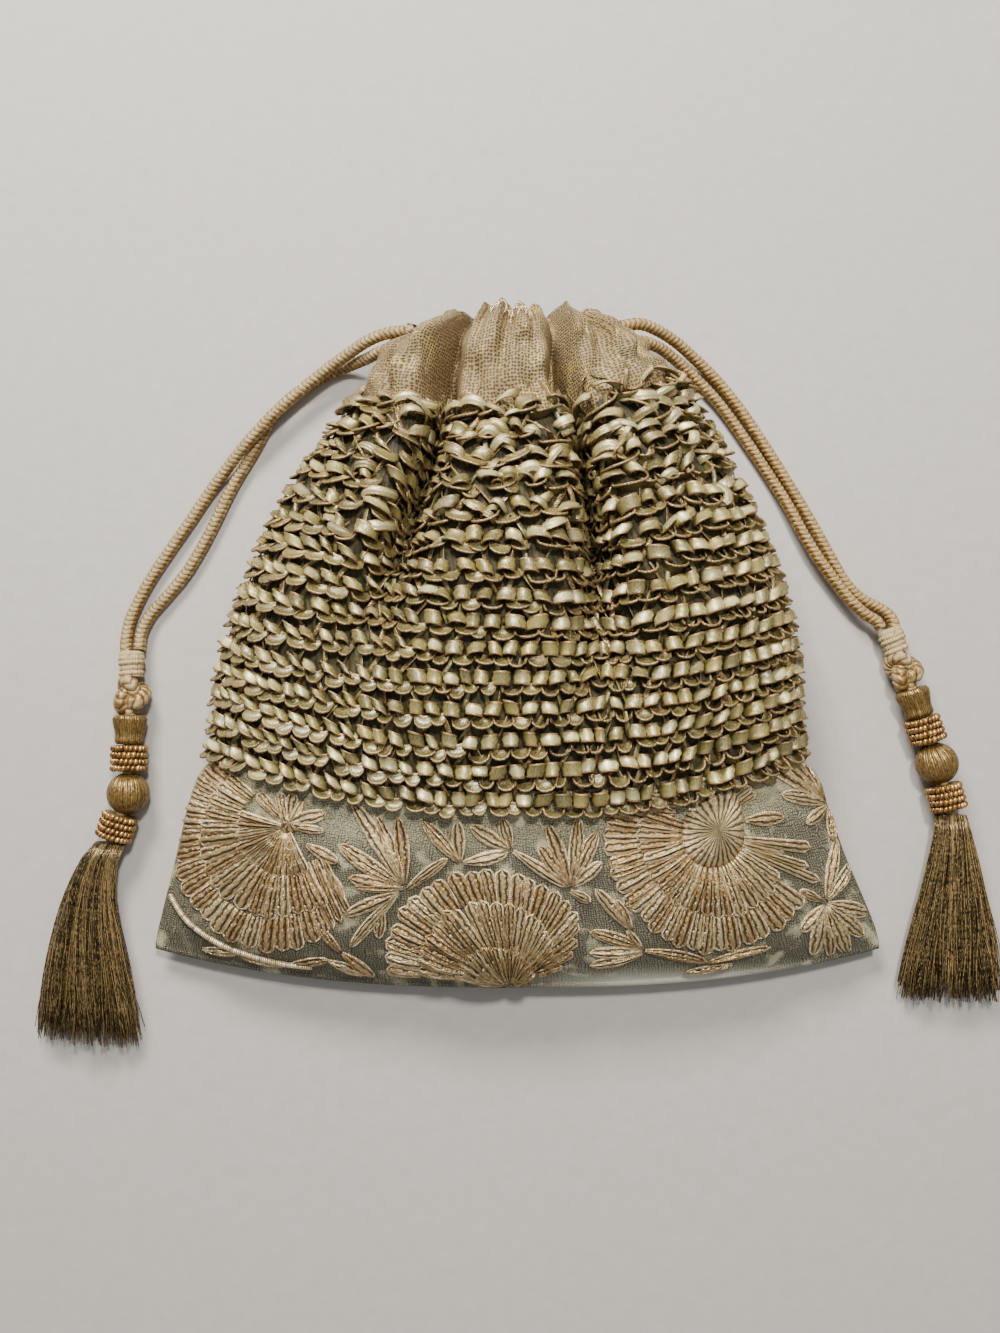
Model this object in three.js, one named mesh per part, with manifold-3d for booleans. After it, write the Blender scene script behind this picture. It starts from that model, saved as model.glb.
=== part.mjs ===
// A drawstring pouch, modelled as it lies on its back. Its body is knitted from flat ribbon, its
// bottom is a cloth band with embroidered fans and leaves, and its mouth is a gathered cloth casing.
// Two drawstrings leave the casing, one loop on each side, and each loop ends in a knot and a tassel.
// Millimetres. +Z is up, +Y runs from the bottom edge to the mouth, and the pouch rests on z = 0.

import * as THREE from "three";
import { mergeVertices } from "three/addons/utils/BufferGeometryUtils.js";
import Module from "manifold-3d";

const wasm = await Module();
wasm.setup();

// Driving sizes
const BASE_WIDTH = 210; // across the bottom corners
const BAG_LENGTH = 196; // from the bottom edge to the mouth
const CROWN_HEIGHT = 41; // of the cloth form, above the surface it lies on
const CLOTH_WALL = 2; // lining with the net on it, and the folded casing
const KNIT_WALL = 3.5; // the ribbon knitting
const CLEARANCE = 0.3; // between pieces that touch
const FOLD_ROOM = 1.2; // least room left between front and back where a fold is deepest

const CORD_DIAMETER = 3.6;
const WRAP_LENGTH = 7.2;
const WRAP_WIDTH = 8.2;
const KNOT_LENGTH = 10.8;
const KNOT_WIDTH = 10.6;
const CAP_LENGTH = 8.6;
const CAP_WIDTH = 9.8;
const COLLAR_LENGTH = 7.6;
const COLLAR_WIDTH = 11;
const BEAD_ROWS = 4;
const BALL_DIAMETER = 12.2;
const SKIRT_NECK = 8.4;
const SKIRT_HEM_WIDTH = 31;
const SKIRT_HEM_HEIGHT = 8.6;

const KNIT_STACK = CLEARANCE + KNIT_WALL; // from the cloth form out to the face of the knitting
const HALF_WIDTH = BASE_WIDTH / 2;
const CORD_RADIUS = CORD_DIAMETER / 2;

// Sections of the cloth form from the bottom edge up. Each column is a share: at, bow and skew of
// BAG_LENGTH, width and shift of HALF_WIDTH, rise and side of CROWN_HEIGHT, floor of KNIT_STACK.
const SECTIONS = [
  { at: 0.0, width: 1.0, rise: 0.2, side: 0.14, floor: 0.6, bow: 0.055, skew: 0.0, shift: 0.0 },
  { at: 0.012, width: 0.995, rise: 0.33, side: 0.15, floor: 0.25, bow: 0.055, skew: 0.0, shift: 0.0 },
  { at: 0.035, width: 0.98, rise: 0.46, side: 0.18, floor: 0.0, bow: 0.055, skew: 0.0, shift: -0.002 },
  { at: 0.07, width: 0.955, rise: 0.57, side: 0.22, floor: 0.0, bow: 0.056, skew: 0.0, shift: -0.008 },
  { at: 0.13, width: 0.912, rise: 0.69, side: 0.26, floor: 0.0, bow: 0.06, skew: 0.0, shift: -0.019 },
  { at: 0.19, width: 0.875, rise: 0.785, side: 0.29, floor: 0.0, bow: 0.068, skew: 0.0, shift: -0.026 },
  { at: 0.235, width: 0.842, rise: 0.81, side: 0.31, floor: 0.5, bow: 0.073, skew: 0.0, shift: -0.029 },
  { at: 0.255, width: 0.79, rise: 0.83, side: 0.34, floor: 1.0, bow: 0.075, skew: 0.0, shift: -0.03 },
  { at: 0.295, width: 0.778, rise: 0.885, side: 0.36, floor: 1.0, bow: 0.076, skew: 0.0, shift: -0.03 },
  { at: 0.33, width: 0.775, rise: 0.92, side: 0.37, floor: 1.0, bow: 0.074, skew: 0.0, shift: -0.029 },
  { at: 0.38, width: 0.766, rise: 0.965, side: 0.39, floor: 1.0, bow: 0.07, skew: 0.0, shift: -0.024 },
  { at: 0.44, width: 0.748, rise: 0.995, side: 0.4, floor: 1.0, bow: 0.066, skew: 0.0, shift: -0.018 },
  { at: 0.5, width: 0.722, rise: 1.0, side: 0.4, floor: 1.0, bow: 0.063, skew: 0.0, shift: -0.013 },
  { at: 0.56, width: 0.683, rise: 1.0, side: 0.4, floor: 1.0, bow: 0.062, skew: 0.0, shift: -0.01 },
  { at: 0.62, width: 0.638, rise: 0.985, side: 0.4, floor: 1.0, bow: 0.062, skew: 0.002, shift: -0.008 },
  { at: 0.68, width: 0.582, rise: 0.95, side: 0.39, floor: 1.0, bow: 0.062, skew: 0.006, shift: -0.004 },
  { at: 0.74, width: 0.518, rise: 0.895, side: 0.38, floor: 1.0, bow: 0.061, skew: 0.012, shift: -0.002 },
  { at: 0.8, width: 0.458, rise: 0.815, side: 0.37, floor: 1.0, bow: 0.06, skew: 0.02, shift: -0.004 },
  { at: 0.845, width: 0.413, rise: 0.735, side: 0.36, floor: 1.0, bow: 0.048, skew: 0.024, shift: -0.016 },
  { at: 0.87, width: 0.4, rise: 0.71, side: 0.355, floor: 1.0, bow: 0.034, skew: 0.02, shift: -0.02 },
  { at: 0.9, width: 0.388, rise: 0.69, side: 0.35, floor: 1.0, bow: 0.019, skew: 0.014, shift: -0.018 },
  { at: 0.94, width: 0.368, rise: 0.66, side: 0.34, floor: 0.95, bow: 0.004, skew: 0.008, shift: -0.014 },
  { at: 0.97, width: 0.348, rise: 0.615, side: 0.33, floor: 0.85, bow: -0.008, skew: 0.004, shift: -0.008 },
  { at: 1.0, width: 0.32, rise: 0.54, side: 0.31, floor: 0.75, bow: -0.02, skew: 0.0, shift: -0.004 },
];

// Where each shell starts and ends, as shares of BAG_LENGTH, on rows of SECTIONS
const BAND_TO = 0.295;
const KNIT_FROM = 0.255;
const KNIT_TO = 0.845;
const CASING_FROM = 0.8;

// The two deep front folds. at is a share of BAG_LENGTH, across and reach are shares of the section's
// half width, and depth is a share of its rise.
const DEEP_FOLDS = [
  [
    { at: 0.34, across: -0.6, depth: 0.0, reach: 0.2 },
    { at: 0.46, across: -0.54, depth: 0.08, reach: 0.16 },
    { at: 0.56, across: -0.48, depth: 0.26, reach: 0.12 },
    { at: 0.64, across: -0.455, depth: 0.52, reach: 0.095 },
    { at: 0.74, across: -0.45, depth: 0.62, reach: 0.085 },
    { at: 0.845, across: -0.45, depth: 0.52, reach: 0.085 },
    { at: 0.93, across: -0.46, depth: 0.42, reach: 0.08 },
    { at: 1.0, across: -0.44, depth: 0.3, reach: 0.08 },
  ],
  [
    { at: 0.3, across: 0.3, depth: 0.0, reach: 0.18 },
    { at: 0.42, across: 0.3, depth: 0.09, reach: 0.14 },
    { at: 0.52, across: 0.31, depth: 0.32, reach: 0.1 },
    { at: 0.62, across: 0.33, depth: 0.6, reach: 0.08 },
    { at: 0.74, across: 0.335, depth: 0.7, reach: 0.072 },
    { at: 0.845, across: 0.35, depth: 0.62, reach: 0.075 },
    { at: 0.93, across: 0.36, depth: 0.52, reach: 0.07 },
    { at: 1.0, across: 0.37, depth: 0.38, reach: 0.065 },
  ],
];

// Small gathers of the casing alone. across and reach are shares of the half width, depth of the rise.
const GATHERS_FROM = 0.81;
const GATHERS = [
  { across: -0.76, reach: 0.05, depth: 0.12 },
  { across: -0.24, reach: 0.04, depth: 0.07 },
  { across: -0.06, reach: 0.035, depth: 0.1 },
  { across: 0.14, reach: 0.035, depth: 0.06 },
  { across: 0.62, reach: 0.055, depth: 0.24 },
  { across: 0.84, reach: 0.04, depth: 0.08 },
];
const BACK_GATHERS = 7;
const BACK_GATHER_HEIGHT = 0.03; // share of CROWN_HEIGHT

// Reads the columns of a table at a share, along straight lines between its rows.
function readTable(table, at) {
  const last = table.length - 1;
  const clamped = THREE.MathUtils.clamp(at, table[0].at, table[last].at);
  const upper = Math.max(1, table.findIndex((row) => row.at >= clamped));
  const [a, b] = [table[upper - 1], table[upper]];
  const mix = (clamped - a.at) / (b.at - a.at);
  return Object.fromEntries(Object.keys(a).map((key) => [key, THREE.MathUtils.lerp(a[key], b[key], mix)]));
}

const bump = (distance, reach) => Math.exp(-((distance / reach) ** 2));

// How far the front is folded in at u, which runs from -1 at the left side to 1 at the right.
function foldDepth(u, at, rise) {
  let depth = 0;
  for (const fold of DEEP_FOLDS) {
    const row = readTable(fold, at);
    depth += at < fold[0].at ? 0 : row.depth * bump(u - row.across, row.reach);
  }
  const gathered = THREE.MathUtils.smoothstep(at, GATHERS_FROM, 1);
  for (const gather of GATHERS) depth += gathered * gather.depth * bump(u - gather.across, gather.reach);
  return depth * rise;
}

const CROWN_POWER = 2.4; // how far the crown stays broad before it turns down
const CROWN_ROUND = 0.6;
const FLAT_SHARE = 0.72; // share of the back that lies flat
const BOW_POWER = 2.5;

// A point of the pouch's form, outset from the cloth form by a distance. face is 1 on the front and -1
// on the back.
function formPoint(u, at, face, outset = 0) {
  const s = readTable(SECTIONS, at);
  const edge = Math.abs(u);
  const side = s.side * CROWN_HEIGHT;
  const rise = s.rise * CROWN_HEIGHT;
  const floor = s.floor * KNIT_STACK;
  const x = s.shift * HALF_WIDTH + u * (s.width * HALF_WIDTH + outset);
  const y = BAG_LENGTH * (at - 0.5 + s.bow * edge ** BOW_POWER + s.skew * u);
  if (face > 0) {
    const crown = side + (rise - side) * (1 - edge ** CROWN_POWER) ** CROWN_ROUND;
    const lowest = floor + 2 * CLOTH_WALL + FOLD_ROOM;
    const folded = crown - foldDepth(u, at, rise);
    const lift = outset * Math.sqrt(1 - edge ** 6);
    return new THREE.Vector3(x, y, Math.max(folded, Math.min(lowest, crown)) + lift);
  }
  const turned = Math.max(0, (edge - FLAT_SHARE) / (1 - FLAT_SHARE));
  const level = Math.sqrt(1 - turned ** 2);
  const gathered = THREE.MathUtils.smoothstep(at, GATHERS_FROM, 1) * BACK_GATHER_HEIGHT * CROWN_HEIGHT;
  const pleat = gathered * (0.5 + 0.5 * Math.cos(BACK_GATHERS * Math.PI * u)) * (1 - edge);
  return new THREE.Vector3(x, y, floor + pleat + (side - floor) * (1 - level) - outset * level);
}

// The places across the front where every section has its points: closer together at the sides and
// where the deep folds run. The back has every second one.
const FRONT_STEPS = 28;
const ACROSS = (() => {
  const slices = 2000;
  const crowd = (u) =>
    1 / Math.sqrt(1.04 - u * u) +
    DEEP_FOLDS.reduce((sum, fold) => sum + 1.7 * bump(u - fold[fold.length - 1].across, 0.13), 0);
  const total = [0];
  for (let i = 0; i < slices; i++) total.push(total[i] + crowd(-1 + (2 * (i + 0.5)) / slices));
  return Array.from({ length: FRONT_STEPS + 1 }, (_, k) => {
    const wanted = (total[slices] * k) / FRONT_STEPS;
    const i = Math.max(1, total.findIndex((value) => value >= wanted));
    const part = (wanted - total[i - 1]) / (total[i] - total[i - 1]);
    return k === 0 ? -1 : k === FRONT_STEPS ? 1 : -1 + (2 * (i - 1 + part)) / slices;
  });
})();

function sectionRing(at, outset) {
  const front = ACROSS.map((u) => formPoint(u, at, 1, outset));
  const back = ACROSS.filter((_, k) => k % 2 === 0 && k > 0 && k < FRONT_STEPS)
    .reverse()
    .map((u) => formPoint(u, at, -1, outset));
  return [...front, ...back];
}

const RING = FRONT_STEPS + FRONT_STEPS / 2;

function geometryFrom(points, faces) {
  const geometry = new THREE.BufferGeometry();
  geometry.setAttribute("position", new THREE.Float32BufferAttribute(points.flatMap((p) => p.toArray()), 3));
  geometry.setIndex(faces.flat());
  geometry.computeVertexNormals();
  return geometry;
}

// Two triangles for each step between two rings of a closed loop. flip turns their faces round.
function bandFaces(first, second, count, flip) {
  const faces = [];
  for (let k = 0; k < count; k++) {
    const next = (k + 1) % count;
    const [a, b, c, d] = [first + k, first + next, second + next, second + k];
    faces.push(flip ? [a, c, b] : [a, b, c], flip ? [a, d, c] : [a, c, d]);
  }
  return faces;
}

// Closes one end of a section ring by joining its front and back points.
function endFaces(start, flip) {
  const faces = [];
  const backIndex = (k) => (k === 0 ? 0 : k === FRONT_STEPS ? FRONT_STEPS : RING - k / 2);
  for (let k = 0; k < FRONT_STEPS; k += 2) {
    const [a, b] = [backIndex(k), backIndex(k + 2)];
    faces.push([k, a, k + 1], [a, b, k + 1], [k + 1, b, k + 2]);
  }
  return faces
    .filter(([a, b, c]) => a !== b && b !== c && a !== c)
    .map(([a, b, c]) => (flip ? [start + a, start + c, start + b] : [start + a, start + b, start + c]));
}

const rowsBetween = (from, to) => SECTIONS.map((s) => s.at).filter((at) => at >= from && at <= to);

// A cloth or knitted wall round the form. A closed bottom makes it a cup, with its floor as thick as
// its wall.
function shell(from, to, outer, inner, closedBottom) {
  const rows = rowsBetween(from, to);
  const innerRows = rows.map((at, i) => (closedBottom && i === 0 ? at + (outer - inner) / BAG_LENGTH : at));
  const points = [
    ...rows.flatMap((at) => sectionRing(at, outer)),
    ...innerRows.flatMap((at) => sectionRing(at, inner)),
  ];
  const inside = rows.length * RING;
  const faces = [];
  for (let j = 0; j + 1 < rows.length; j++) {
    faces.push(...bandFaces(j * RING, (j + 1) * RING, RING, false));
    faces.push(...bandFaces(inside + j * RING, inside + (j + 1) * RING, RING, true));
  }
  const top = (rows.length - 1) * RING;
  faces.push(...bandFaces(top, inside + top, RING, false));
  if (closedBottom) faces.push(...endFaces(0, false), ...endFaces(inside, true));
  else faces.push(...bandFaces(0, inside, RING, true));
  return geometryFrom(points, faces);
}

function toSolid(geometry) {
  const bare = geometry.clone();
  bare.deleteAttribute("normal");
  bare.deleteAttribute("uv");
  const merged = mergeVertices(bare, 1e-4);
  return new wasm.Manifold(
    new wasm.Mesh({
      numProp: 3,
      vertProperties: merged.attributes.position.array,
      triVerts: new Uint32Array(merged.index.array),
    }),
  );
}

function toGeometry(solid) {
  const mesh = solid.getMesh();
  const geometry = new THREE.BufferGeometry();
  geometry.setAttribute("position", new THREE.BufferAttribute(mesh.vertProperties, 3));
  geometry.setIndex(new THREE.BufferAttribute(mesh.triVerts, 1));
  geometry.computeVertexNormals();
  return geometry;
}

const materials = {
  ribbon: new THREE.MeshStandardMaterial({ color: 0x9a9158, roughness: 0.35, metalness: 0.6 }),
  band: new THREE.MeshStandardMaterial({ color: 0x8d8868, roughness: 0.7, metalness: 0.1 }),
  embroidery: new THREE.MeshStandardMaterial({ color: 0xb8976c, roughness: 0.4, metalness: 0.55 }),
  net: new THREE.MeshStandardMaterial({ color: 0xa58f68, roughness: 0.75, metalness: 0.15 }),
  cord: new THREE.MeshStandardMaterial({ color: 0xb89a62, roughness: 0.5, metalness: 0.35 }),
  thread: new THREE.MeshStandardMaterial({ color: 0x7a6238, roughness: 0.45, metalness: 0.5 }),
  beads: new THREE.MeshStandardMaterial({ color: 0xb08850, roughness: 0.25, metalness: 0.8 }),
};

const pouch = new THREE.Group();

function addPiece(parent, name, geometry, material) {
  const mesh = new THREE.Mesh(geometry, material);
  mesh.name = name;
  parent.add(mesh);
  return mesh;
}

// Routes of the four free strands of drawstring, chosen by hand, from inside the casing to the wrap.
// They leave the casing's side, come down to the surface and run along it. On the left one strand
// climbs over the other and lies on it for a while.
const STRANDS = {
  cord_left_outer: [
    [-33.0, 91.4, 13.6], [-38.6, 90.9, 12.9], [-44.2, 89.3, 11.2], [-50.1, 86.3, 8.8], [-56.2, 82.9, 6.4],
    [-61.8, 78.6, 5.9], [-66.6, 74.5, 5.8], [-72.8, 68.9, 5.8], [-77.1, 64.2, 5.7], [-82.6, 58.2, 4.8],
    [-87.4, 52.5, 3.3], [-92.8, 45.5, 2.0], [-98.2, 37.2, 1.9], [-104.2, 28.2, 1.9], [-109.5, 19.9, 1.9],
    [-113.4, 12.4, 1.9], [-115.6, 5.8, 2.8], [-115.6, -2.1, 4.9],
  ],
  cord_left_inner: [
    [-33.6, 86.2, 12.9], [-39.0, 86.3, 12.0], [-44.6, 85.4, 7.4], [-50.6, 84.4, 3.4], [-57.0, 82.2, 1.9],
    [-62.2, 79.4, 1.9], [-67.5, 75.8, 1.9], [-71.8, 71.8, 1.9], [-74.9, 67.4, 1.9], [-77.4, 62.4, 1.9],
    [-80.2, 57.2, 1.9], [-83.4, 51.8, 1.9], [-86.8, 45.4, 1.9], [-89.9, 38.6, 1.9], [-92.9, 32.4, 1.9],
    [-96.1, 26.4, 1.9], [-99.8, 20.5, 1.9], [-104.9, 14.2, 1.9], [-109.4, 8.8, 2.2], [-111.6, 3.6, 3.4],
    [-111.8, -2.1, 4.9],
  ],
  cord_right_outer: [
    [30.4, 92.6, 14.2], [36.2, 93.6, 13.4], [42.0, 92.6, 10.6], [47.6, 90.3, 7.6], [52.8, 87.0, 4.8],
    [60.8, 80.2, 2.2], [68.8, 69.9, 1.9], [76.6, 57.6, 1.9], [84.2, 44.7, 1.9], [90.2, 34.0, 1.9],
    [94.4, 26.0, 1.9], [98.4, 18.8, 1.9], [102.8, 14.0, 2.0], [107.4, 11.2, 2.7], [110.6, 8.6, 4.0],
    [111.75, 5.75, 4.9],
  ],
  cord_right_inner: [
    [31.0, 87.8, 13.8], [36.4, 88.6, 12.8], [42.2, 88.2, 8.8], [47.8, 85.6, 5.2], [53.0, 81.8, 2.8],
    [60.8, 73.8, 1.9], [69.1, 62.0, 1.9], [77.4, 48.9, 2.2], [81.5, 41.4, 3.2], [85.6, 32.8, 4.2],
    [89.6, 25.6, 4.8], [93.8, 19.6, 4.8], [99.0, 12.8, 4.8], [103.4, 8.6, 4.9],
    [106.6, 6.6, 4.9], [108.0, 4.4, 4.9],
  ],
};
const CORD_SIDES = 8;
const CORD_STEP = 2.8; // diameters between the tube's sections

function strandCurve(name) {
  return new THREE.CatmullRomCurve3(STRANDS[name].map((p) => new THREE.Vector3(...p)), false, "centripetal");
}

function roundShape(radius, sides) {
  return new THREE.Shape(
    Array.from({ length: sides }, (_, i) => {
      const turn = ((i + 0.5) * 2 * Math.PI) / sides;
      return new THREE.Vector2(radius * Math.cos(turn), radius * Math.sin(turn));
    }),
  );
}

function tubeAlong(curve, radius, sides, steps) {
  return new THREE.ExtrudeGeometry(roundShape(radius, sides), { extrudePath: curve, steps });
}

// A strand's tube, or the room round it, with a section every few diameters
function strandTube(name, radius) {
  const curve = strandCurve(name);
  const steps = Math.ceil(curve.getLength() / (CORD_STEP * CORD_DIAMETER));
  return tubeAlong(curve, radius, CORD_SIDES, steps);
}

function addStrands() {
  for (const name of Object.keys(STRANDS)) addPiece(pouch, name, strandTube(name, CORD_RADIUS), materials.cord);
}

// The casing, with the holes that the drawstrings leave by
const EYELET_ROOM = 0.6; // round the strand

function casing() {
  const wall = toSolid(shell(CASING_FROM, 1, 0, -CLOTH_WALL, false));
  const holes = Object.keys(STRANDS).map((name) => toSolid(strandTube(name, CORD_RADIUS + EYELET_ROOM)));
  return toGeometry(holes.reduce((solid, hole) => solid.subtract(hole), wall));
}

// A solid block of the pouch's form between two heights of the bag, outset by a distance. The raised
// embroidery is cut from such blocks, so that it follows the band's front.
function formBlock(to, outset) {
  const rows = [...rowsBetween(0, to - 0.001), to];
  const faces = [];
  for (let j = 0; j + 1 < rows.length; j++) faces.push(...bandFaces(j * RING, (j + 1) * RING, RING, false));
  faces.push(...endFaces(0, false), ...endFaces((rows.length - 1) * RING, true));
  return toSolid(geometryFrom(rows.flatMap((at) => sectionRing(at, outset)), faces));
}

// The space under the pouch's side line, which keeps the embroidery off the back.
const GUARD_REACH = 6;

function backGuard() {
  const rows = rowsBetween(0, BAND_TO);
  const points = rows.flatMap((at) => {
    const ring = sectionRing(at, GUARD_REACH);
    ring.forEach((point, k) => (point.z = k <= FRONT_STEPS ? readTable(SECTIONS, at).side * CROWN_HEIGHT : -GUARD_REACH));
    return ring;
  });
  const faces = [];
  for (let j = 0; j + 1 < rows.length; j++) faces.push(...bandFaces(j * RING, (j + 1) * RING, RING, false));
  faces.push(...endFaces(0, false), ...endFaces((rows.length - 1) * RING, true));
  return toSolid(geometryFrom(points, faces));
}

const EMBROIDERY_HEADROOM = 60;
const EMBROIDERED_TO = KNIT_FROM - CLEARANCE / BAG_LENGTH;
const bandSurface = formBlock(BAND_TO, CLEARANCE).add(backGuard());

function prism(outline) {
  const shape = new THREE.Shape(outline);
  return toSolid(new THREE.ExtrudeGeometry(shape, { depth: EMBROIDERY_HEADROOM, bevelEnabled: false }));
}

function plate(outline, height) {
  return prism(outline).intersect(formBlock(EMBROIDERED_TO, CLEARANCE + height)).subtract(bandSurface);
}

function heading(x, y, degrees, distance) {
  const turn = THREE.MathUtils.degToRad(degrees);
  return new THREE.Vector2(x + distance * Math.cos(turn), y + distance * Math.sin(turn));
}

// Fans of petals in tiers. x and y place the heart, reach is the radius, and from and to are the
// headings of the first and last petal, in degrees from +X. back is how far the fan runs on behind its
// heart, as a share of the reach. x is a share of HALF_WIDTH, y and reach are shares of BAG_LENGTH.
const FANS = {
  fan_left: { x: -0.5857, y: -0.2704, reach: 0.1735, from: 138, to: 298, petals: 9, back: 0.24 },
  fan_centre: { x: -0.0905, y: -0.4719, reach: 0.1505, from: 6, to: 174, petals: 9, back: 0.05 },
  fan_right: { x: 0.4905, y: -0.2908, reach: 0.1531, from: 142, to: 398, petals: 13, back: 0.5 },
};
const SCALLOP = 0.08; // how far the rim dips between two petals, as a share of the reach
const TIERS = [
  { share: 1, height: 1.1 },
  { share: 0.56, height: 1.9 },
];

const placed = ({ x, y, reach, ...rest }) => ({
  ...rest, x: x * HALF_WIDTH, y: y * BAG_LENGTH, reach: reach * BAG_LENGTH,
});

function fanOutline({ x, y, reach, from, to, petals, back }, scale) {
  const spread = (to - from) / petals;
  const outline = Array.from({ length: 2 * petals + 1 }, (_, k) =>
    heading(x, y, from + (k * spread) / 2, scale * reach * (k % 2 === 0 ? 1 - SCALLOP : 1)),
  );
  const open = 360 - (to - from);
  for (const share of [0.3, 0.7]) outline.push(heading(x, y, to + open * share, scale * reach * back));
  return outline;
}

function fan(shares) {
  const values = placed(shares);
  return TIERS.map((tier) => plate(fanOutline(values, tier.share), tier.height)).reduce((a, b) => a.add(b));
}

// Sprays of leaves that grow from one stalk. heading is the middle leaf's, spread is from the first
// leaf to the last, in degrees, and reach is the longest leaf. They are shares as on the fans.
const SPRAYS = {
  spray_left: { x: -0.3048, y: -0.352, middle: 125, spread: 84, leaves: 5, reach: 0.1173 },
  spray_centre: { x: -0.1238, y: -0.3112, middle: 110, spread: 76, leaves: 3, reach: 0.0561 },
  spray_middle_right: { x: 0.1429, y: -0.352, middle: 84, spread: 84, leaves: 5, reach: 0.102 },
  spray_right_top: { x: 0.8381, y: -0.2398, middle: 140, spread: 70, leaves: 3, reach: 0.0969 },
  spray_right_corner: { x: 0.8476, y: -0.3418, middle: 268, spread: 84, leaves: 5, reach: 0.1173 },
  spray_lower_left: { x: -0.4286, y: -0.4439, middle: 28, spread: 80, leaves: 3, reach: 0.051 },
  spray_lower_right: { x: 0.3619, y: -0.4643, middle: 168, spread: 60, leaves: 3, reach: 0.0663 },
};
const LEAF_HEIGHT = 0.9;
const LEAF_SHOULDER = 0.55; // share of a leaf's length at its widest
const LEAF_CLEFT = 0.3; // share of the reach where two leaves part
const STALK = 0.08; // share of the reach that runs on behind the leaves

function spray(shares) {
  const { x, y, middle, spread, leaves, reach } = placed(shares);
  const outline = [];
  const gap = spread / (leaves - 1);
  for (let i = 0; i < leaves; i++) {
    const way = middle - spread / 2 + i * gap;
    const length = reach * (1 - 0.12 * Math.abs(i - (leaves - 1) / 2));
    outline.push(heading(x, y, way - gap / 2, reach * LEAF_CLEFT));
    outline.push(heading(x, y, way - gap / 4, length * LEAF_SHOULDER));
    outline.push(heading(x, y, way, length));
    outline.push(heading(x, y, way + gap / 4, length * LEAF_SHOULDER));
  }
  const end = middle + spread / 2 + gap / 2;
  outline.push(heading(x, y, end, reach * LEAF_CLEFT));
  const open = 360 - spread - gap;
  for (const share of [0.33, 0.67]) outline.push(heading(x, y, end + open * share, reach * STALK));
  let leaf = plate(outline, LEAF_HEIGHT);
  for (const values of Object.values(FANS).map(placed))
    leaf = leaf.subtract(prism(fanOutline(values, 1 + CLEARANCE / values.reach)));
  return leaf;
}

// Turns a profile of [radius, distance along] round the Y axis. The profile starts and ends on the axis.
function turned(profile, segments) {
  return new THREE.LatheGeometry(profile.map(([r, along]) => new THREE.Vector2(r, along)), segments);
}

// The binding that holds a loop's two strands together
function wrap() {
  const half = WRAP_WIDTH / 2;
  return turned([[0, 0], [0.86 * half, 0], [0.9 * half, 0.35 * WRAP_LENGTH], [0.72 * half, 0.8 * WRAP_LENGTH],
    [0.78 * half, WRAP_LENGTH], [0, WRAP_LENGTH]], 12);
}

// A hand-tied knot: three lobes that wind round as they go along
const KNOT_LOBES = 3;
const KNOT_RINGS = 6;
const KNOT_SIDES = 12;

function knot() {
  const points = [new THREE.Vector3(0, 0, 0)];
  for (let j = 0; j < KNOT_RINGS; j++) {
    const along = (j + 0.5) / KNOT_RINGS;
    const round = 0.5 * KNOT_WIDTH * Math.sin(Math.PI * (0.14 + 0.74 * along)) ** 0.7;
    for (let k = 0; k < KNOT_SIDES; k++) {
      const turn = (2 * Math.PI * k) / KNOT_SIDES;
      const lobe = 0.9 + 0.1 * Math.cos(KNOT_LOBES * turn + 4 * along);
      const inset = j === 0 ? 0 : j === KNOT_RINGS - 1 ? 1 : along;
      points.push(new THREE.Vector3(round * lobe * Math.cos(turn), KNOT_LENGTH * inset, round * lobe * Math.sin(turn)));
    }
  }
  points.push(new THREE.Vector3(0, KNOT_LENGTH, 0));
  const faces = [];
  for (let j = 0; j + 1 < KNOT_RINGS; j++)
    faces.push(...bandFaces(1 + j * KNOT_SIDES, 1 + (j + 1) * KNOT_SIDES, KNOT_SIDES, true));
  const last = points.length - 1;
  for (let k = 0; k < KNOT_SIDES; k++) {
    const next = (k + 1) % KNOT_SIDES;
    faces.push([0, 1 + k, 1 + next]);
    faces.push([last, last - KNOT_SIDES + next, last - KNOT_SIDES + k]);
  }
  return geometryFrom(points, faces);
}

// The thread-wound cap, flared where the knot sits in it
function cap() {
  const half = CAP_WIDTH / 2;
  return turned([[0, 0], [0.84 * half, 0], [half, 0.14 * CAP_LENGTH], [0.98 * half, 0.3 * CAP_LENGTH],
    [0.82 * half, 0.66 * CAP_LENGTH], [0.86 * half, CAP_LENGTH], [0, CAP_LENGTH]], 12);
}

// A collar of beads: each row stands out as one ridge
function collar() {
  const half = COLLAR_WIDTH / 2;
  const valley = 0.88 * half;
  const row = COLLAR_LENGTH / BEAD_ROWS;
  const profile = [[0, 0], [valley, 0]];
  for (let i = 0; i < BEAD_ROWS; i++) profile.push([half, (i + 0.5) * row], [valley, (i + 1) * row]);
  return turned([...profile, [0, COLLAR_LENGTH]], 12);
}

function ball() {
  const steps = 8;
  const radius = BALL_DIAMETER / 2;
  return turned(Array.from({ length: steps + 1 }, (_, i) => {
    const turn = (Math.PI * i) / steps;
    return [i === 0 || i === steps ? 0 : radius * Math.sin(turn), radius - radius * Math.cos(turn)];
  }), 14);
}

// The tassel's skirt: locks of thread that leave a round neck and spread flat to the hem. Each lock
// is a ridge with its own tip. drop is how far the middle of the hem lies below the neck.
const LOCKS = 12;
const LOCK_POINTS = 3;
const SKIRT_ROWS = [
  { at: 0, spread: 0, groove: 0.02 },
  { at: 0.08, spread: 0.12, groove: 0.04 },
  { at: 0.25, spread: 0.36, groove: 0.07 },
  { at: 0.5, spread: 0.62, groove: 0.1 },
  { at: 0.75, spread: 0.84, groove: 0.13 },
  { at: 0.95, spread: 1, groove: 0.17 },
];
const LOCK_STAGGER = 0.035; // share of the skirt's length by which the lock tips differ

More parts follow.
